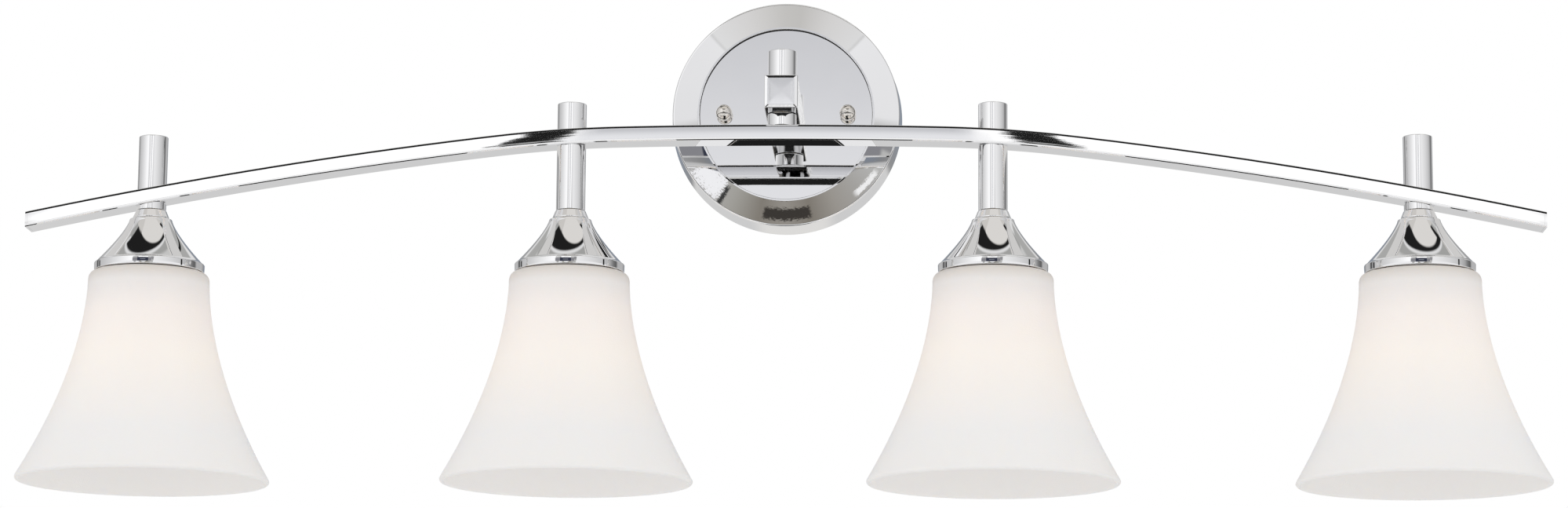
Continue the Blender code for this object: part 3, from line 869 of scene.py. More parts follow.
@dataclass
class Arm:
    """The square tube that holds the bar out, with a bevelled, lightly crowned front."""

    corner: float = 0.8 * MM
    face_bevel: float = 1.5 * MM
    face_angle: float = math.radians(15)
    side_bevel: float = 0.5 * MM
    side_angle: float = math.radians(55)
    bevel_rounding: float = 0.12 * MM
    bevel_hold: float = 0.06 * MM
    crown: float = 0.08 * MM
    crown_shares: tuple[float, ...] = (0.12, 0.3, 0.5, 0.7, 0.9)
    back_ring: float = 0.3 * MM
    hold: float = 0.15 * MM
    most_corner: float = 0.4
    most_hold: float = 0.2
    corner_steps: int = 5

    def build(self) -> None:
        """Makes the arm as rounded square sections from the canopy to its front."""
        box = Envelope.of("arm")
        half, back, front = box.radius, box.high.y, box.low.y
        rings = [(back, 0.0), (back - self.back_ring, 0.0), *self._bevel(front)]
        start = rings[-1][1]
        for share in self.crown_shares:
            inset = start + (half - start) * share
            rings.append((front - self.crown * (1 - (1 - share) ** 2), inset))
        bm = bmesh.new()
        loops = [self._section(bm, box.centre, half - inset, depth) for depth, inset in rings]
        for near, far in zip(loops, loops[1:]):
            for index in range(len(near)):
                after = (index + 1) % len(near)
                bm.faces.new((near[index], near[after], far[after], far[index]))
        bm.faces.new(loops[0])
        bm.faces.new(loops[-1])
        outward(bm)
        arm = new_piece("square_arm", bm, SATIN_CHROME)
        settle(arm, "fixture", SATIN_CHROME, "arm")

    def _bevel(self, front: float) -> Outline:
        """The front's two bevels, as (depth, inset) points from the side to the face."""
        side = (self.side_bevel * math.sin(self.side_angle),
                self.side_bevel * math.cos(self.side_angle))
        face = (self.face_bevel * math.sin(self.face_angle),
                self.face_bevel * math.cos(self.face_angle))
        edge = front + side[0] + face[0]
        round_off = self.bevel_rounding
        # The last two corners and the first only close the outline, and are cut off again.
        far_back, far_in = front + 9 * MM, 5 * MM
        corners = [
            (far_back, 0, SHARP), (edge, 0, round_off), (edge - side[0], side[1], round_off),
            (front, side[1] + face[1], round_off), (front, far_in, SHARP),
            (far_back, far_in, SHARP),
        ]
        return rounded(corners, 3, self.bevel_hold)[1:-2]

    def _section(self, bm: bmesh.types.BMesh, centre: Vector, half: float, depth: float) -> list:
        """One rounded square at a depth."""
        radius = min(self.corner, half * self.most_corner)
        hold = min(self.hold, half * self.most_hold)
        verts = []
        for quarter, (sx, sz) in enumerate(((1, 1), (-1, 1), (-1, -1), (1, -1))):
            corner = Vector((centre.x + sx * (half - radius), centre.z + sz * (half - radius)))
            spokes = []
            for step in range(self.corner_steps + 1):
                angle = math.pi / 2 * (quarter + step / self.corner_steps)
                spokes.append(Vector((math.cos(angle), math.sin(angle))))
            flat = Vector((-spokes[0].y, spokes[0].x)) * hold
            points = [corner + spokes[0] * radius - flat]
            points += [corner + spoke * radius for spoke in spokes]
            flat = Vector((-spokes[-1].y, spokes[-1].x)) * hold
            points.append(corner + spokes[-1] * radius + flat)
            verts += [bm.verts.new((point.x, depth, point.y)) for point in points]
        return verts


@dataclass
class Bar:
    """The arched rectangular tube and its two end plates."""

    crown_half: float = 88.5 * MM
    crown_bend: float = 4000 * MM
    shoulder_end: float = 157.7 * MM
    shoulder_bend: float = 714 * MM
    tail_bend: float = 2780 * MM
    pillow: float = 0.035 * MM
    bevels: tuple[tuple[float, float], ...] = (
        (1.1 * MM, 15), (0.42 * MM, 55), (0.75 * MM, 22), (0.7 * MM, 45),
    )
    edge_hold: float = 0.05 * MM
    stations: int = 241
    cap_stations: int = 3
    gap: float = 0.04 * MM

    def section(self, width: float, height: float) -> bmesh.types.BMesh:
        """The tube's outline as a closed loop of edges: two bevels at each edge, crowned faces."""
        steps = [
            (length * math.sin(math.radians(angle)), length * math.cos(math.radians(angle)))
            for length, angle in self.bevels
        ]
        (in_a, up_a), (in_b, up_b), (in_c, up_c), (in_d, up_d) = steps
        half, top = width / 2, height / 2
        upper = [(half, top - up_a - up_b), (half - in_a, top - up_b), (half - in_a - in_b, top)]
        lower = [(half - in_c - in_d, -top), (half - in_c, -top + up_d), (half, -top + up_c + up_d)]
        side = [*upper, *((-across, up) for across, up in reversed(upper))]
        side += [*((-across, up) for across, up in reversed(lower)), *lower]
        points = rounded([(across, up, CRISP) for across, up in side], 3, self.edge_hold)
        outline: Outline = []
        for index, (across, up) in enumerate(points):
            outline.append((across, up))
            nearby = points[(index + 1) % len(points)]
            if abs(nearby[1] - up) > height / 2:
                for share in shares(8)[1:-1]:
                    bulge = math.copysign(self.pillow, across) * 4 * share * (1 - share)
                    outline.append((across + bulge, up + (nearby[1] - up) * share))
        shrink = half / max(across for across, _ in outline)
        bm = bmesh.new()
        verts = [bm.verts.new((across * shrink, -up, 0)) for across, up in outline]
        for one, two in zip(verts, verts[1:] + verts[:1]):
            bm.edges.new((one, two))
        return bm

    def build(self) -> None:
        """Makes the tube and its end plates with one tree."""
        tree = ArchTree()
        box = Envelope.of("bar", "bar_cap_left", "bar_cap_right")
        cap = Envelope.of("bar_cap_right")
        thick = cap.size.x
        height = cap.size.z - self._drop(cap.high.x) + self._drop(cap.low.x)
        low, high = box.low.x + thick, box.high.x - thick
        lengths = (
            ("arched_tube", low + self.gap, high - self.gap, self.stations, "bar"),
            ("end_plate_left", box.low.x, low, self.cap_stations, "bar_cap_left"),
            ("end_plate_right", high, box.high.x, self.cap_stations, "bar_cap_right"),
        )
        for name, left, right, stations, node in lengths:
            sizes = {
                "Left": left, "Right": right, "Axis Depth": -box.centre.y,
                "Top": box.high.z - height / 2, "Crown Half": self.crown_half,
                "Crown Bend": self.crown_bend, "Shoulder End": self.shoulder_end,
                "Shoulder Bend": self.shoulder_bend, "Tail Bend": self.tail_bend,
                "Stations": stations,
            }
            piece = tree.make(name, self.section(box.size.y, height), CHROME, sizes)
            piece.data.set_sharp_from_angle(angle=EDGE_ANGLE)
            settle(piece, "fixture", CHROME, node)

    def _drop(self, x: float) -> float:
        """How far the bar has come down at x."""
        drop = slope = start = 0.0
        for end, bend in (
            (self.crown_half, self.crown_bend), (self.shoulder_end, self.shoulder_bend),
            (math.inf, self.tail_bend),
        ):
            run = max(0.0, min(abs(x), end) - start)
            drop += slope * run + run * run / (2 * bend)
            slope += run / bend
            start = end
        return drop


@dataclass
class Post:
    """A round post piece of chromed tube, between two levels."""

    edge: float = 0.55 * MM
    wall: float = 2.75 * MM
    roof: float = 3 * MM

    def build(self, name: str, node: str, blind: bool) -> None:
        """Turns the post piece and puts it in place of its solid.

        Args:
            name: The new piece's name.
            node: The solid that it stands for.
            blind: Whether its top is closed.
        """
        box = Envelope.of(node)
        radius, low, high = box.radius, box.low.z, box.high.z
        bore = radius - self.wall
        if blind:
            roof = high - self.roof
            corners = [
                (0, high, SHARP), (radius, high, self.edge), (radius, low, FINE),
                (bore, low, FINE), (bore, roof, SHARP), (0, roof, SHARP),
            ]
        else:
            ends = ((radius, high), (radius, low), (bore, low), (bore, high))
            corners = [(*end, FINE) for end in ends]
        mesh = turned_mesh(rounded(corners, 6), (box.centre.x, box.centre.y))
        settle(new_piece(name, mesh, CHROME), "fixture", CHROME, node)


@dataclass
class Lamp:
    """One lamp: post, stem, collar, cup, lampholder, bell shade, shade ring and bulb."""

    number: int
    bore: float = 5.25 * MM
    # Collar.
    collar_taper: float = 1.6 * MM
    collar_rim: float = 0.5 * MM
    # Cup.
    cup_wall: float = 1.3 * MM
    cup_neck: float = 11.6 * MM
    cup_flare: float = 1.3
    cup_shoulder: float = 0.7 * MM
    cup_crown: float = 0.5 * MM
    cup_slant: float = 1.2
    cup_least_wall: float = 1 * MM
    # The cup's bead, flange edge and hem, as steps in and down (or up, for the hem).
    cup_bead: tuple[Point2, ...] = (
        (1.2 * MM, 0), (0.55 * MM, 0.05 * MM), (0.2 * MM, 0.2 * MM),
    )
    cup_edge: tuple[Point2, ...] = ((0.45 * MM, 0.03 * MM), (0.2 * MM, 0.18 * MM))
    cup_hem: tuple[Point2, ...] = ((0.25 * MM, 0.1 * MM), (0.5 * MM, 0))
    flare_steps: int = 24
    band_steps: int = 12
    band_height: float = 4.6 * MM
    band_lean: float = 0.16 * MM
    band_bow: float = 0.035 * MM
    band_top: float = 0.45 * MM
    band_foot: float = 0.75 * MM
    # Lampholder.
    holder_neck: float = 9 * MM
    holder_neck_height: float = 16 * MM
    holder_floor: float = 22.5 * MM
    holder_bore: float = 14.2 * MM
    holder_ridge: float = 0.3 * MM
    holder_pitch: float = 2.6 * MM
    holder_round: float = 1.6 * MM
    holder_plain: float = 5 * MM
    holder_start: float = 2 * MM
    thread_sink: float = 0.02 * MM
    # Shade.
    glass: float = 3 * MM
    shoulder_height: float = 4.6 * MM
    flare_power: float = 1.78
    shoulder_radius: float = 33 * MM
    top_radius: float = 29.5 * MM
    glass_hole: float = 19.6 * MM
    lip_trim: float = 0.1 * MM
    # Where the shoulder's curve starts, in from its top's edge, and how near it comes to square.
    knuckle_start: float = 1.2 * MM
    knuckle_bend: Point2 = (0.35 * MM, 0.1 * MM)
    knuckle_steps: int = 12
    lip_steps: int = 12
    bell_steps: int = 56
    # Shade ring.
    ring_bore: float = 19.3 * MM
    rib_count: int = 36
    rib_width: float = 1.2 * MM
    rib_depth: float = 1.3 * MM
    rib_stand: float = 0.7 * MM
    rib_inset: float = 1.0 * MM
    # Bulb.
    cap_ridge: float = 0.55 * MM
    cap_pitch: float = 3.62 * MM
    cap_overlap: float = 0.25 * MM
    cap_plain: float = 11 * MM
    cap_start: float = 3.6 * MM
    contact_radius: float = 4.4 * MM
    insulator: Point2 = (5.2 * MM, 1.6 * MM)
    cone: Triple = (1.2 * MM, 4.2 * MM, 6 * MM)
    skirt: Point2 = (0.3 * MM, 3 * MM)
    globe_join: float = math.radians(38)
    globe_levers: Point2 = (0.55, 0.9)
    globe_steps: tuple[int, int] = (16, 24)
    axis: Point2 = field(init=False)

    def __post_init__(self) -> None:
        """Finds the lamp's axis."""
        middle = Envelope.of(f"collar_{self.number}").centre
        self.axis = (middle.x, middle.y)

    def build(self, post: Post, thread: ThreadTree, grip: GripTree) -> None:
        """Makes the lamp's pieces from the top down."""
        number = self.number
        post.build(f"post_finial_{number}", f"post_cap_{number}", True)
        post.build(f"stem_tube_{number}", f"stem_{number}", False)
        self.build_collar()
        self.build_cup()
        self.build_lampholder(thread)
        self.build_shade()
        self.build_ring(grip)
        self.build_bulb_cap(thread)
        self.build_globe()

    def _turn(
        self, name: str, outline: Outline, finish: Finish, steps: int, node: str,
        body: str = "fixture",
    ) -> None:
        """Turns a piece round the lamp's axis and puts it in place of its solid."""
        mesh = turned_mesh(outline, self.axis, steps=steps)
        settle(new_piece(f"{name}_{self.number}", mesh, finish), body, finish, node)

    def build_collar(self) -> None:
        """The small conical collar between the stem and the cup."""
        node = f"collar_{self.number}"
        box = Envelope.of(node)
        large, low, high = box.radius, box.low.z, box.high.z
        corners = [
            (large - self.collar_taper, high, SOFT), (large, low + self.collar_rim, SOFT),
            (large, low, CRISP), (self.bore, low, CRISP), (self.bore, high, CRISP),
        ]
        self._turn("stem_collar", rounded(corners, 6), CHROME, 96, node)

    def build_cup(self) -> None:
        """The spun cup: a flared bell over a plain, faintly bowed flange band."""
        node = f"socket_cup_{self.number}"
        box = Envelope.of(node)
        flange, top, low = box.radius, box.high.z, box.low.z
        neck, wall = self.cup_neck, self.cup_wall
        flare_low = low + self.band_height
        flare_top = top - self.cup_crown
        flare: Outline = []
        for share in shares(self.flare_steps):
            radius = neck + (flange - self.cup_shoulder - neck) * share**self.cup_flare
            flare.append((radius, flare_top - (flare_top - flare_low) * share))
        band: Outline = []
        for share in shares(self.band_steps):
            bow = self.band_bow * (1 - (2 * share - 1) ** 2)
            across = flange - self.band_lean * share - self.band_bow + bow
            drop = (flare_low - low - self.band_foot) * share
            band.append((across, flare_low - self.band_top - drop))
        least = self.bore + self.cup_least_wall
        inside = [
            (max(least, radius - self.cup_slant * wall), height - wall / 2)
            for radius, height in reversed(flare[2:])
        ]
        outline = [
            (self.bore, top),
            *((neck - back, top - down) for back, down in self.cup_bead),
            *flare,
            *((flange - back, flare_low - down) for back, down in self.cup_edge),
            *band,
            *((flange - back, low + up) for back, up in self.cup_hem),
            (inside[0][0], low), *inside, (neck - wall, top - wall), (self.bore, top - wall),
        ]
        self._turn("spun_cup", outline, CHROME, 128, node)

    def build_lampholder(self, thread: ThreadTree) -> None:
        """The phenolic lampholder, with the thread that its shade ring runs on."""
        node = f"socket_{self.number}"
        box = Envelope.of(node)
        top, low = box.high.z, box.low.z
        neck, bore = self.holder_neck, self.holder_bore
        shoulder = top - self.holder_neck_height
        floor = top - self.holder_floor
        body = box.radius - self.holder_ridge
        corners = [
            (neck, top, FULL), (neck, shoulder, FULL), (body, shoulder, self.holder_round),
            (body, low, FULL), (bore, low, FULL), (bore, floor, EASED), (0, floor, SHARP),
            (0, shoulder, SHARP), (self.bore, shoulder, EASED), (self.bore, top, EASED),
        ]
        base = turned_mesh(rounded(corners, 4), self.axis, steps=64)
        run = shoulder - low - self.holder_plain
        sizes = {
            "Radius": body - self.thread_sink, "Length": run, "Turns": run / self.holder_pitch,
            "Ridge": self.holder_ridge, "Steps": 40,
            "Place": (*self.axis, low + self.holder_start), "Turn": (0, 0, 0),
        }
        piece = thread.make(f"lampholder_{self.number}", base, PHENOLIC, sizes)
        settle(piece, "fixture", PHENOLIC, node)

    def build_shade(self) -> None:
        """The blown bell of satin opal glass."""
        node = f"shade_{self.number}"
        box = Envelope.of(node)
        rim, top, low = box.radius, box.high.z, box.low.z
        hole, glass = self.glass_hole, self.glass
        outer = self._shade_knuckle(top) + self._shade_flare(rim, top, low)
        inner: Outline = []
        for index, point in enumerate(outer):
            before = Vector(outer[max(0, index - 1)])
            after = Vector(outer[min(len(outer) - 1, index + 1)])
            along = (after - before).normalized()
            inner.append(tuple(Vector(point) + Vector((along.y, -along.x)) * glass))
        last_out, last_in = Vector(outer[-1]), Vector(inner[-1])
        along = (last_out - Vector(outer[-2])).normalized()
        centre = (last_out + last_in) / 2 - along * glass / 2
        spoke = (last_out - last_in) / 2
        lip: Outline = []
        for angle in (math.pi * step / self.lip_steps for step in range(1, self.lip_steps)):
            ahead = along * glass / 2 * math.sin(angle)
            lip.append(tuple(centre + spoke * math.cos(angle) + ahead))
        outer, inner = (
            [point for point in side if (Vector(point) - centre).dot(along) < -self.lip_trim]
            for side in (outer, inner)
        )
        outline = [
            (hole + SOFT, top), *outer, *lip, *reversed(inner), (hole + SOFT, top - glass),
            (hole, top - glass + SOFT), (hole, top - SOFT),
        ]
        # Stretched a little to fill the solid's box.
        low_made = min(height for _, height in outline)
        wide_made = max(radius for radius, _ in outline)
        outline = [
            (hole + (radius - hole) * (rim - hole) / (wide_made - hole),
             top + (height - top) * (low - top) / (low_made - top))
            for radius, height in outline
        ]
        self._turn("bell_shade", outline, OPAL_GLASS, 144, node)

    def _shade_flare(self, rim: float, top: float, low: float) -> Outline:
        """The bell's outside, from its shoulder to its rim."""
        shoulder = top - self.shoulder_height
        flare: Outline = []
        for share in shares(self.bell_steps):
            spread = (rim - self.shoulder_radius) * share**self.flare_power
            flare.append((self.shoulder_radius + spread, shoulder + (low - shoulder) * share))
        return flare

    def _shade_knuckle(self, top: float) -> Outline:
        """The bell's rounded shoulder, up to where its flare begins."""
        start = Vector((self.top_radius - self.knuckle_start, top))
        bend = Vector((self.shoulder_radius - self.knuckle_bend[0], top - self.knuckle_bend[1]))
        end = Vector((self.shoulder_radius, top - self.shoulder_height))
        knuckle: Outline = []
        for share in shares(self.knuckle_steps)[:-1]:
            point = start * (1 - share) ** 2 + bend * 2 * share * (1 - share) + end * share**2
            knuckle.append(tuple(point))
        return knuckle

    def build_ring(self, grip: GripTree) -> None:
        """The shade ring, with ribs to turn it by."""
        node = f"shade_ring_{self.number}"
        box = Envelope.of(node)
        low, high = box.low.z, box.high.z
        body = box.radius - self.rib_stand
        corners = [
            (body, high, SOFT), (body, low, 0.6 * MM), (self.ring_bore, low, 0.5 * MM),
            (self.ring_bore, high, 0.5 * MM),
        ]
        base = turned_mesh(rounded(corners, 4), self.axis, steps=72)
        sizes = {
            "Radius": body, "Ribs": self.rib_count,
            "Rib Size": (self.rib_depth, self.rib_width, high - low - self.rib_inset),
            "Place": (*self.axis, (low + high) / 2),
        }
        piece = grip.make(f"ribbed_ring_{self.number}", base, PHENOLIC, sizes)
        piece.data.set_sharp_from_angle(angle=EDGE_ANGLE)
        settle(piece, f"ring_{self.number}", PHENOLIC, node)

    def build_bulb_cap(self, thread: ThreadTree) -> None:
        """The bulb's threaded cap, with its insulator and contact."""
        node = f"bulb_cap_{self.number}"
        box = Envelope.of(node)
        top, low = box.high.z, box.low.z
        ridge = self.cap_ridge
        core = box.radius - ridge
        rim, rim_drop = self.insulator
        inset, cone_top, cone_foot = self.cone
        flare, skirt_height = self.skirt
        corners = [
            (0, top, SHARP), (self.contact_radius, top, 0.7 * MM), (rim, top - rim_drop, SOFT),
            (core - inset, top - cone_top, 1.2 * MM), (core, top - cone_foot, 1.0 * MM),
            (core, low + skirt_height, EASED), (core + flare, low, 0.2 * MM), (0, low, SHARP),
        ]
        base = turned_mesh(rounded(corners, 4), self.axis, steps=64)
        run = top - low - self.cap_plain
        sizes = {
            "Radius": core - self.cap_overlap, "Length": run, "Turns": run / self.cap_pitch,
            "Ridge": ridge + self.cap_overlap, "Steps": 48,
            "Place": (*self.axis, low + self.cap_start), "Turn": (0, 0, 0),
        }
        piece = thread.make(f"threaded_cap_{self.number}", base, CAP_METAL, sizes)
        settle(piece, f"bulb_{self.number}", CAP_METAL, node)

    def build_globe(self) -> None:
        """The bulb's frosted globe: a neck that runs smoothly into a ball."""
        node = f"bulb_globe_{self.number}"
        box = Envelope.of(node)
        globe, neck, low = box.radius, box.high.z, box.low.z
        core = Envelope.of(f"bulb_cap_{self.number}").radius - self.cap_ridge
        centre, join = low + globe, self.globe_join
        start = Vector((core, neck))
        end = Vector((globe * math.cos(join), centre + globe * math.sin(join)))
        near_neck, near_ball = self.globe_levers
        lever = (neck - end.y) * near_neck
        first = start - Vector((0, lever))
        second = end + Vector((-math.sin(join), math.cos(join))) * lever * near_ball
        neck_steps, ball_steps = self.globe_steps
        outline: Outline = [(0.0, neck)]
        for share in shares(neck_steps):
            rest = 1 - share
            point = (
                start * rest**3 + first * 3 * share * rest**2
                + second * 3 * share**2 * rest + end * share**3
            )
            outline.append(tuple(point))
        for step in range(1, ball_steps + 1):
            angle = join - (join + math.pi / 2) * step / ball_steps
            across = globe * math.cos(angle) if step < ball_steps else 0.0
            outline.append((across, centre + globe * math.sin(angle)))
        self._turn("frosted_globe", outline, LAMP_GLASS, 72, node, f"bulb_{self.number}")


@dataclass
class WallHardware:
    """The strap, its studs, the ground screw, the nipples and the lock nut."""

    thread_ridge: float = 0.22 * MM
    pitch: float = 1.1 * MM
    plain_end: float = 0.8 * MM

    def build(self, thread: ThreadTree) -> None:
        """Threads the studs and dresses the other solids."""
        for side in ("left", "right"):
            self._stud(thread, side)
        nipples = ("arm_nipple", "centre_nipple", *(f"nipple_{number}" for number in LAMP_NUMBERS))
        for finish, names in (
            (ZINC, ("mounting_strap", "arm_nut")),
            (GREEN_PAINT, ("ground_screw",)),
            (BRASS, nipples),
        ):
            for name in names:
                materials = bpy.data.objects[name].data.materials
                materials.clear()
                materials.append(finish.material())
                LOG.info("%s: dressed in %s", name, finish.name)

    def _stud(self, thread: ThreadTree, side: str) -> None:
        """One stud: a plain core with a wound thread."""
        node = f"stud_{side}"
        box = Envelope.of(node)
        core = box.radius - self.thread_ridge
        back, front = -box.high.y, -box.low.y
        corners = [(0, front, SHARP), (core, front, SOFT), (core, back, CRISP), (0, back, SHARP)]
        middle = box.centre
        base = turned_mesh(rounded(corners, 3), (middle.x, middle.z), Facing.ROOM, 32)
        run = front - back - 2 * self.plain_end
        sizes = {
            "Radius": core, "Length": run, "Turns": run / self.pitch, "Ridge": self.thread_ridge,
            "Steps": 24, "Place": (middle.x, box.high.y - self.plain_end, middle.z),
            "Turn": (math.pi / 2, 0, 0),
        }
        piece = thread.make(f"threaded_stud_{side}", base, ZINC, sizes)
        settle(piece, "fixture", ZINC, node)


# ---------------------------------------------------------------- studio


class Aim(Enum):
    """How a studio card's place is given."""

    FRONT = "degrees right of the room's axis, and above the horizon"
    BACK = "degrees right of the wall's axis, and above the horizon"
    RING = "degrees clockwise from the top of the canopy's ring, and out from its middle"
    OVERHEAD = "shares of the sky's width right and towards the wall"


@dataclass(frozen=True)
class Card:
    """A panel of light or shade that the polished metal reflects."""

    aim: Aim
    light: Colour
    left: float
    right: float
    low: float
    high: float
    soft_across: float = 0.5
    soft_up: float = 0.5
    ragged: float = 0.0
    lean: float = 0.0
    bow: float = 0.0

    def share(self, across: Value, up: Value, mottle: Value) -> Value:
        """How much of the card shows in each direction.

        Args:
            across: The direction's place across, in the card's own terms.
            up: Its place up.
            mottle: Noise about zero, which breaks up a ragged card's edges.

        Returns:
            1 on the card and 0 off it.
        """
        if self.ragged:
            across = across + mottle * (self.ragged * 2)
            up = up + mottle * (self.ragged * 3)
        if self.lean or self.bow:
            up = up - across * self.lean - across * across * self.bow
        shown_across = across.band(self.left, self.right, self.soft_across)
        return shown_across * up.band(self.low, self.high, self.soft_up)


BLACK = (0.015, 0.015, 0.015)

# The light round the horizon, by degrees right of the room's axis.
HORIZON = (
    (-180, 0.26), (-166, 0.28), (-150, 0.55), (-133, 0.50), (-129, 0.08), (-125, 0.10),
    (-119, 0.55), (-105, 0.60), (-81, 0.72), (-55, 0.91), (-31, 1.12), (5, 1.12), (12, 0.95),
    (25, 0.92), (55, 0.77), (80, 0.62), (98, 0.44), (110, 0.20), (120, 0.12), (127, 0.50),
    (150, 0.50), (166, 0.28), (180, 0.26),
)

# The light that the canopy's sloping ring reflects, by degrees clockwise from its top.
RING_MIDDLE = (-2.2, 12.5)
RING_LIGHT = (
    (-180, (0.33, 0.31, 0.28)), (-166, (0.25, 0.23, 0.20)), (-150, (0.40, 0.39, 0.36)),
    (-128, (0.52, 0.51, 0.50)), (-116, (0.44, 0.44, 0.44)), (-102, (0.56, 0.56, 0.56)),
    (-95, (0.86, 0.86, 0.87)), (-47.5, (0.89, 0.89, 0.90)), (-46.8, (0.60, 0.60, 0.60)),
    (-46, (0.82, 0.82, 0.82)), (-24, (0.75, 0.74, 0.73)), (-2, (0.62, 0.61, 0.59)),
    (8, (0.60, 0.59, 0.57)), (26, (0.74, 0.73, 0.72)), (46, (0.80, 0.80, 0.80)),
    (46.8, (0.60, 0.60, 0.60)), (47.5, (0.91, 0.91, 0.92)), (94, (0.88, 0.88, 0.89)),
    (100, (0.56, 0.56, 0.56)), (122, (0.52, 0.52, 0.51)), (138, (0.42, 0.41, 0.39)),
    (152, (0.36, 0.34, 0.31)), (166, (0.24, 0.22, 0.19)), (180, (0.33, 0.31, 0.28)),
)

# Laid under the dark card and over it again, which keeps its soft edges firm.
WARM_OVERHEAD = Card(Aim.OVERHEAD, (0.66, 0.64, 0.61), -0.60, 0.60, -0.9, -0.10, 0.03, 0.03)

STUDIO_CARDS = (
    # Level with the light: what flat fronts and posts reflect.
    Card(Aim.FRONT, (1.2, 1.2, 1.2), -13, 9, 4, 36, 0.4, 0.5),
    Card(Aim.FRONT, (0.88, 0.885, 0.91), -5.2, 0.45, 9.2, 21, 0.3, 0.5),
    Card(Aim.FRONT, (0.60, 0.605, 0.63), -5.2, 0.45, 12.2, 22, 0.3, 2.4),
    Card(Aim.FRONT, BLACK, -6.15, -5.35, 9.5, 15.5, 0.04, 0.5, 0.3),
    Card(Aim.FRONT, BLACK, 0.95, 1.75, 9.5, 15.5, 0.04, 0.5, 0.3),
    # Just below the horizon, and then far below: a dark band, a bright one and a dark one.
    Card(Aim.FRONT, (0.95, 0.95, 0.96), -90, 90, -9, 4, 4.0, 0.6),
    Card(Aim.FRONT, BLACK, -90, 90, -17, -5.8, 4.0, 0.7, 0.3),
    Card(Aim.FRONT, (1.0, 1.0, 1.0), -90, 90, -50, -18, 4.0, 1.5),
    Card(Aim.FRONT, BLACK, -90, 90, -91, -51, 4.0, 1.0),
    Card(Aim.BACK, (0.79, 0.78, 0.76), -90, 90, -76, 2, 4.0, 2.0),
    Card(Aim.BACK, (0.66, 0.66, 0.66), -90, 90, -15, 2, 4.0, 1.5),
    Card(Aim.BACK, BLACK, -90, 90, -91, -77, 4.0, 1.0),
    # Above and behind, towards the wall.
    Card(Aim.BACK, (0.27, 0.30, 0.35), -14, 14, 3, 27, 3.0, 2.0),
    Card(Aim.BACK, (0.80, 0.80, 0.80), -70, 70, 28, 64, 4.0, 2.0),
    Card(Aim.BACK, (0.44, 0.44, 0.43), -52, -18, 33, 60, 2.0, 3.0),
    Card(Aim.BACK, (0.44, 0.44, 0.43), 18, 52, 33, 60, 2.0, 3.0),
    # Overhead: what the cups reflect.
    Card(Aim.OVERHEAD, (0.63, 0.63, 0.62), -2, 2, -0.9, 0.5, 0.05, 0.05),
    Card(Aim.OVERHEAD, (0.40, 0.40, 0.39), -0.62, 0.60, -0.9, 0.15, 0.02, 0.02, bow=1.45),
    WARM_OVERHEAD,
    Card(Aim.OVERHEAD, (0.80, 0.80, 0.80), -0.54, 0.50, -0.02, 0.11, 0.02, 0.012, bow=0.72),
    Card(Aim.OVERHEAD, BLACK, -0.51, 0.54, -0.30, 0.08, 0.015, 0.012, bow=0.72),
    WARM_OVERHEAD,
    Card(Aim.OVERHEAD, (0.78, 0.76, 0.73), -0.29, 0.47, -0.9, 0.0, 0.015, 0.015, lean=0.32),
    Card(Aim.BACK, BLACK, 17, 34, -2.6, 0.6, 1.5, 0.4, lean=1.6),
    # The dark strip that makes the thin line along the bar's and the arm's upper edges.
    Card(Aim.FRONT, BLACK, -26, 24, 35.2, 47, 1.0, 0.5),
)

# What the canopy's ring alone reflects, over the light round it.
RING_CARDS = (
    Card(Aim.RING, (0.98, 0.98, 1.0), -142, -123, 12.5, 22, 1.0, 0.8, 6.0),
    Card(Aim.RING, (0.05, 0.05, 0.05), -145, -142.5, 15, 23, 0.6, 0.6, 1.5),
    Card(Aim.RING, (0.98, 0.98, 0.98), 124, 140, 18.9, 20.6, 2.0, 0.3, 0.8),
    Card(Aim.RING, (0.30, 0.30, 0.31), 101, 112, 17, 24, 1.5, 1.0),
    Card(Aim.RING, (0.05, 0.045, 0.04), 166, 181, 16.4, 20.2, 1.0, 0.5, 1.3),
    Card(Aim.RING, (0.05, 0.045, 0.04), -181, -168, 16.4, 20.2, 1.0, 0.5, 1.3),
    Card(Aim.RING, BLACK, 172, 181, 11, 13.6, 1.0, 0.3, 1.0),
    Card(Aim.RING, BLACK, -181, -166, 11, 13.6, 1.0, 0.3, 1.0),
)

# A low dark strip with a light slot, which the cups' flanges and the ring's sides reflect.
LOW_CARDS = (
    Card(Aim.FRONT, (0.25, 0.25, 0.26), -15.4, -13.9, 8.6, 12.4, 0.3, 0.3, 0.15),
    Card(Aim.FRONT, BLACK, -119, -114, 1, 9, 0.8, 0.5),
    Card(Aim.FRONT, BLACK, 79, 83, 1, 9, 0.8, 0.5),
    Card(Aim.FRONT, (0.26, 0.26, 0.28), -25, 14.5, 3.4, 7.2, 0.8, 0.3, 0.3),
    Card(Aim.FRONT, (0.04, 0.045, 0.07), -15, 8, 3.2, 7.6, 0.3, 0.2),
    Card(Aim.FRONT, (0.38, 0.40, 0.44), -9, 2, 5.2, 5.7, 1.0, 0.15),
)


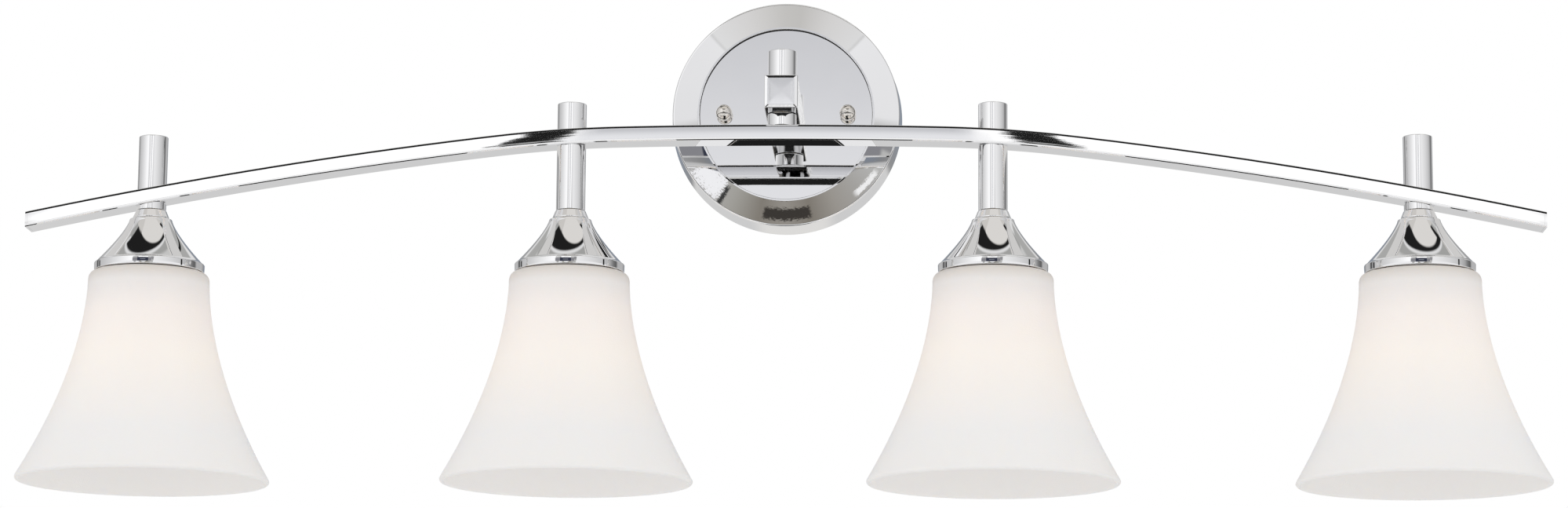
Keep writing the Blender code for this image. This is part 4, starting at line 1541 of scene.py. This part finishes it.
@dataclass
class Studio:
    """The pale floor, and the sky of cards round the bar, which gives all the light."""

    floor_height: float = -0.78
    floor_half: float = 3.0
    floor_paint: Colour = (0.90, 0.90, 0.90)
    diffuse_light: float = 0.92
    background: Colour = (1.0, 1.0, 1.0)
    mottle_scale: float = 160.0
    overhead_start: Point2 = (0.73, 0.76)
    ring_reach: Triple = (11.0, 22.3, 0.3)
    front_start: Point2 = (-0.1, -0.2)

    def build(self) -> None:
        """Makes the sky, which lights everything, and the floor."""
        self.build_sky()
        self.build_floor()
        bpy.context.scene.view_settings.view_transform = "Standard"

    def build_sky(self) -> None:
        """White behind the bar, even light on matt surfaces, and the cards in the metal."""
        world = bpy.data.worlds.new("studio_sky")
        bpy.context.scene.world = world
        world.use_nodes = True
        world.node_tree.nodes.clear()
        graph = NodeGraph(world.node_tree)
        way = graph.add("ShaderNodeTexCoord", None, None, "Generated")
        x = graph.add("ShaderNodeSeparateXYZ", None, [way], "X")
        y, z = x.other("Y"), x.other("Z")
        to_degrees = 180 / math.pi
        rise = z.most(-1.0).least(1.0).math("ARCSINE") * to_degrees
        places = {
            Aim.FRONT: (x.math("ARCTAN2", -y) * to_degrees, rise),
            Aim.BACK: (x.math("ARCTAN2", y) * to_degrees, rise),
            Aim.OVERHEAD: (x, y),
        }
        across, up = (place - middle for place, middle in zip(places[Aim.FRONT], RING_MIDDLE))
        outward_from_ring = (across * across + up * up).math("SQRT")
        places[Aim.RING] = (across.math("ARCTAN2", up) * to_degrees, outward_from_ring)
        mottle = graph.noise(way, self.mottle_scale, 4.0) - 0.5
        overhead = z.rise(*self.overhead_start)
        stops = [(angle / 360 + 0.5, (light, light, light * 1.005)) for angle, light in HORIZON]
        light = graph.ramp(places[Aim.FRONT][0] / 360 + 0.5, stops)
        for card in STUDIO_CARDS:
            share = card.share(*places[card.aim], mottle)
            if card.aim is Aim.OVERHEAD:
                share = share * overhead
            light = graph.blend(share, light, card.light)
        stops = [(angle / 360 + 0.5, colour) for angle, colour in RING_LIGHT]
        ring = graph.ramp(places[Aim.RING][0] / 360 + 0.5, stops)
        for card in RING_CARDS:
            ring = graph.blend(card.share(*places[card.aim], mottle), ring, card.light)
        on_ring = outward_from_ring.band(*self.ring_reach) * y.rise(*self.front_start)
        light = graph.blend(on_ring, light, ring)
        for card in LOW_CARDS:
            light = graph.blend(card.share(*places[card.aim], mottle), light, card.light)
        rays = graph.add("ShaderNodeLightPath", None, None, "Is Camera Ray")
        light = graph.blend(rays.other("Is Diffuse Ray"), light, (self.diffuse_light,) * 3)
        light = graph.blend(rays, light, self.background)
        sky = graph.add("ShaderNodeBackground", None, {"Color": light, "Strength": 1.0})
        graph.add("ShaderNodeOutputWorld", None, {"Surface": sky})

    def build_floor(self) -> None:
        """A plain pale floor, seen from above only and left out of the metal's reflections."""
        half, height = self.floor_half, self.floor_height
        mesh = bpy.data.meshes.new("pale_floor")
        signs = ((-1, -1), (1, -1), (1, 1), (-1, 1))
        corners = [(half * across, half * along, height) for across, along in signs]
        mesh.from_pydata(corners, [], [(0, 1, 2, 3)])
        floor = bpy.data.objects.new("pale_floor", mesh)
        bpy.context.scene.collection.objects.link(floor)
        paint = bpy.data.materials.new("pale_floor_paint")
        paint.use_nodes = True
        paint.node_tree.nodes.clear()
        graph = NodeGraph(paint.node_tree)
        matt = graph.add("ShaderNodeBsdfDiffuse", None, {"Color": (*self.floor_paint, 1)})
        clear = graph.add("ShaderNodeBsdfTransparent")
        under = graph.add("ShaderNodeNewGeometry", None, None, "Backfacing")
        both = graph.add("ShaderNodeMixShader", None, [under, matt, clear])
        graph.add("ShaderNodeOutputMaterial", None, {"Surface": both})
        mesh.materials.append(paint)
        floor.visible_glossy = False


@dataclass
class View:
    """The camera: below the bar, a little right of its middle, looking up at it."""

    place: Triple = (0.08883, -2.30190, -0.48447)
    yaw: float = 0.03917
    pitch: float = 0.17527
    roll: float = -0.00749
    lens: float = 94.58
    sensor: float = 36.0
    clip: Point2 = (0.01, 100)

    def build(self) -> None:
        """Makes the camera and gives it to the scene."""
        lens = bpy.data.cameras.new("camera")
        lens.sensor_fit = "HORIZONTAL"
        lens.sensor_width = self.sensor
        lens.lens = self.lens
        lens.clip_start, lens.clip_end = self.clip
        camera = bpy.data.objects.new("camera", lens)
        turn = (
            Matrix.Rotation(self.yaw, 3, "Z")
            @ Matrix.Rotation(self.pitch, 3, "X")
            @ Matrix.Rotation(self.roll, 3, "Y")
        )
        right, ahead, up = turn.col
        camera.matrix_world = (
            Matrix.Translation(self.place) @ Matrix((right, up, -ahead)).transposed().to_4x4()
        )
        bpy.context.scene.collection.objects.link(camera)
        bpy.context.scene.camera = camera


def main() -> None:
    """Builds the light's pieces in order, then its studio and camera."""
    logging.basicConfig(level=logging.INFO, format="%(message)s")
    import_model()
    thread = ThreadTree()
    grip = GripTree()
    post = Post()
    View().build()
    Canopy().build()
    for side in ("left", "right"):
        CapNut(side).build()
    Arm().build()
    post.build("centre_post_finial", "centre_post_top", True)
    post.build("centre_post_tube", "centre_post_bottom", False)
    Bar().build()
    for number in LAMP_NUMBERS:
        Lamp(number).build(post, thread, grip)
    WallHardware().build(thread)
    Studio().build()


if __name__ == "__main__":
    main()
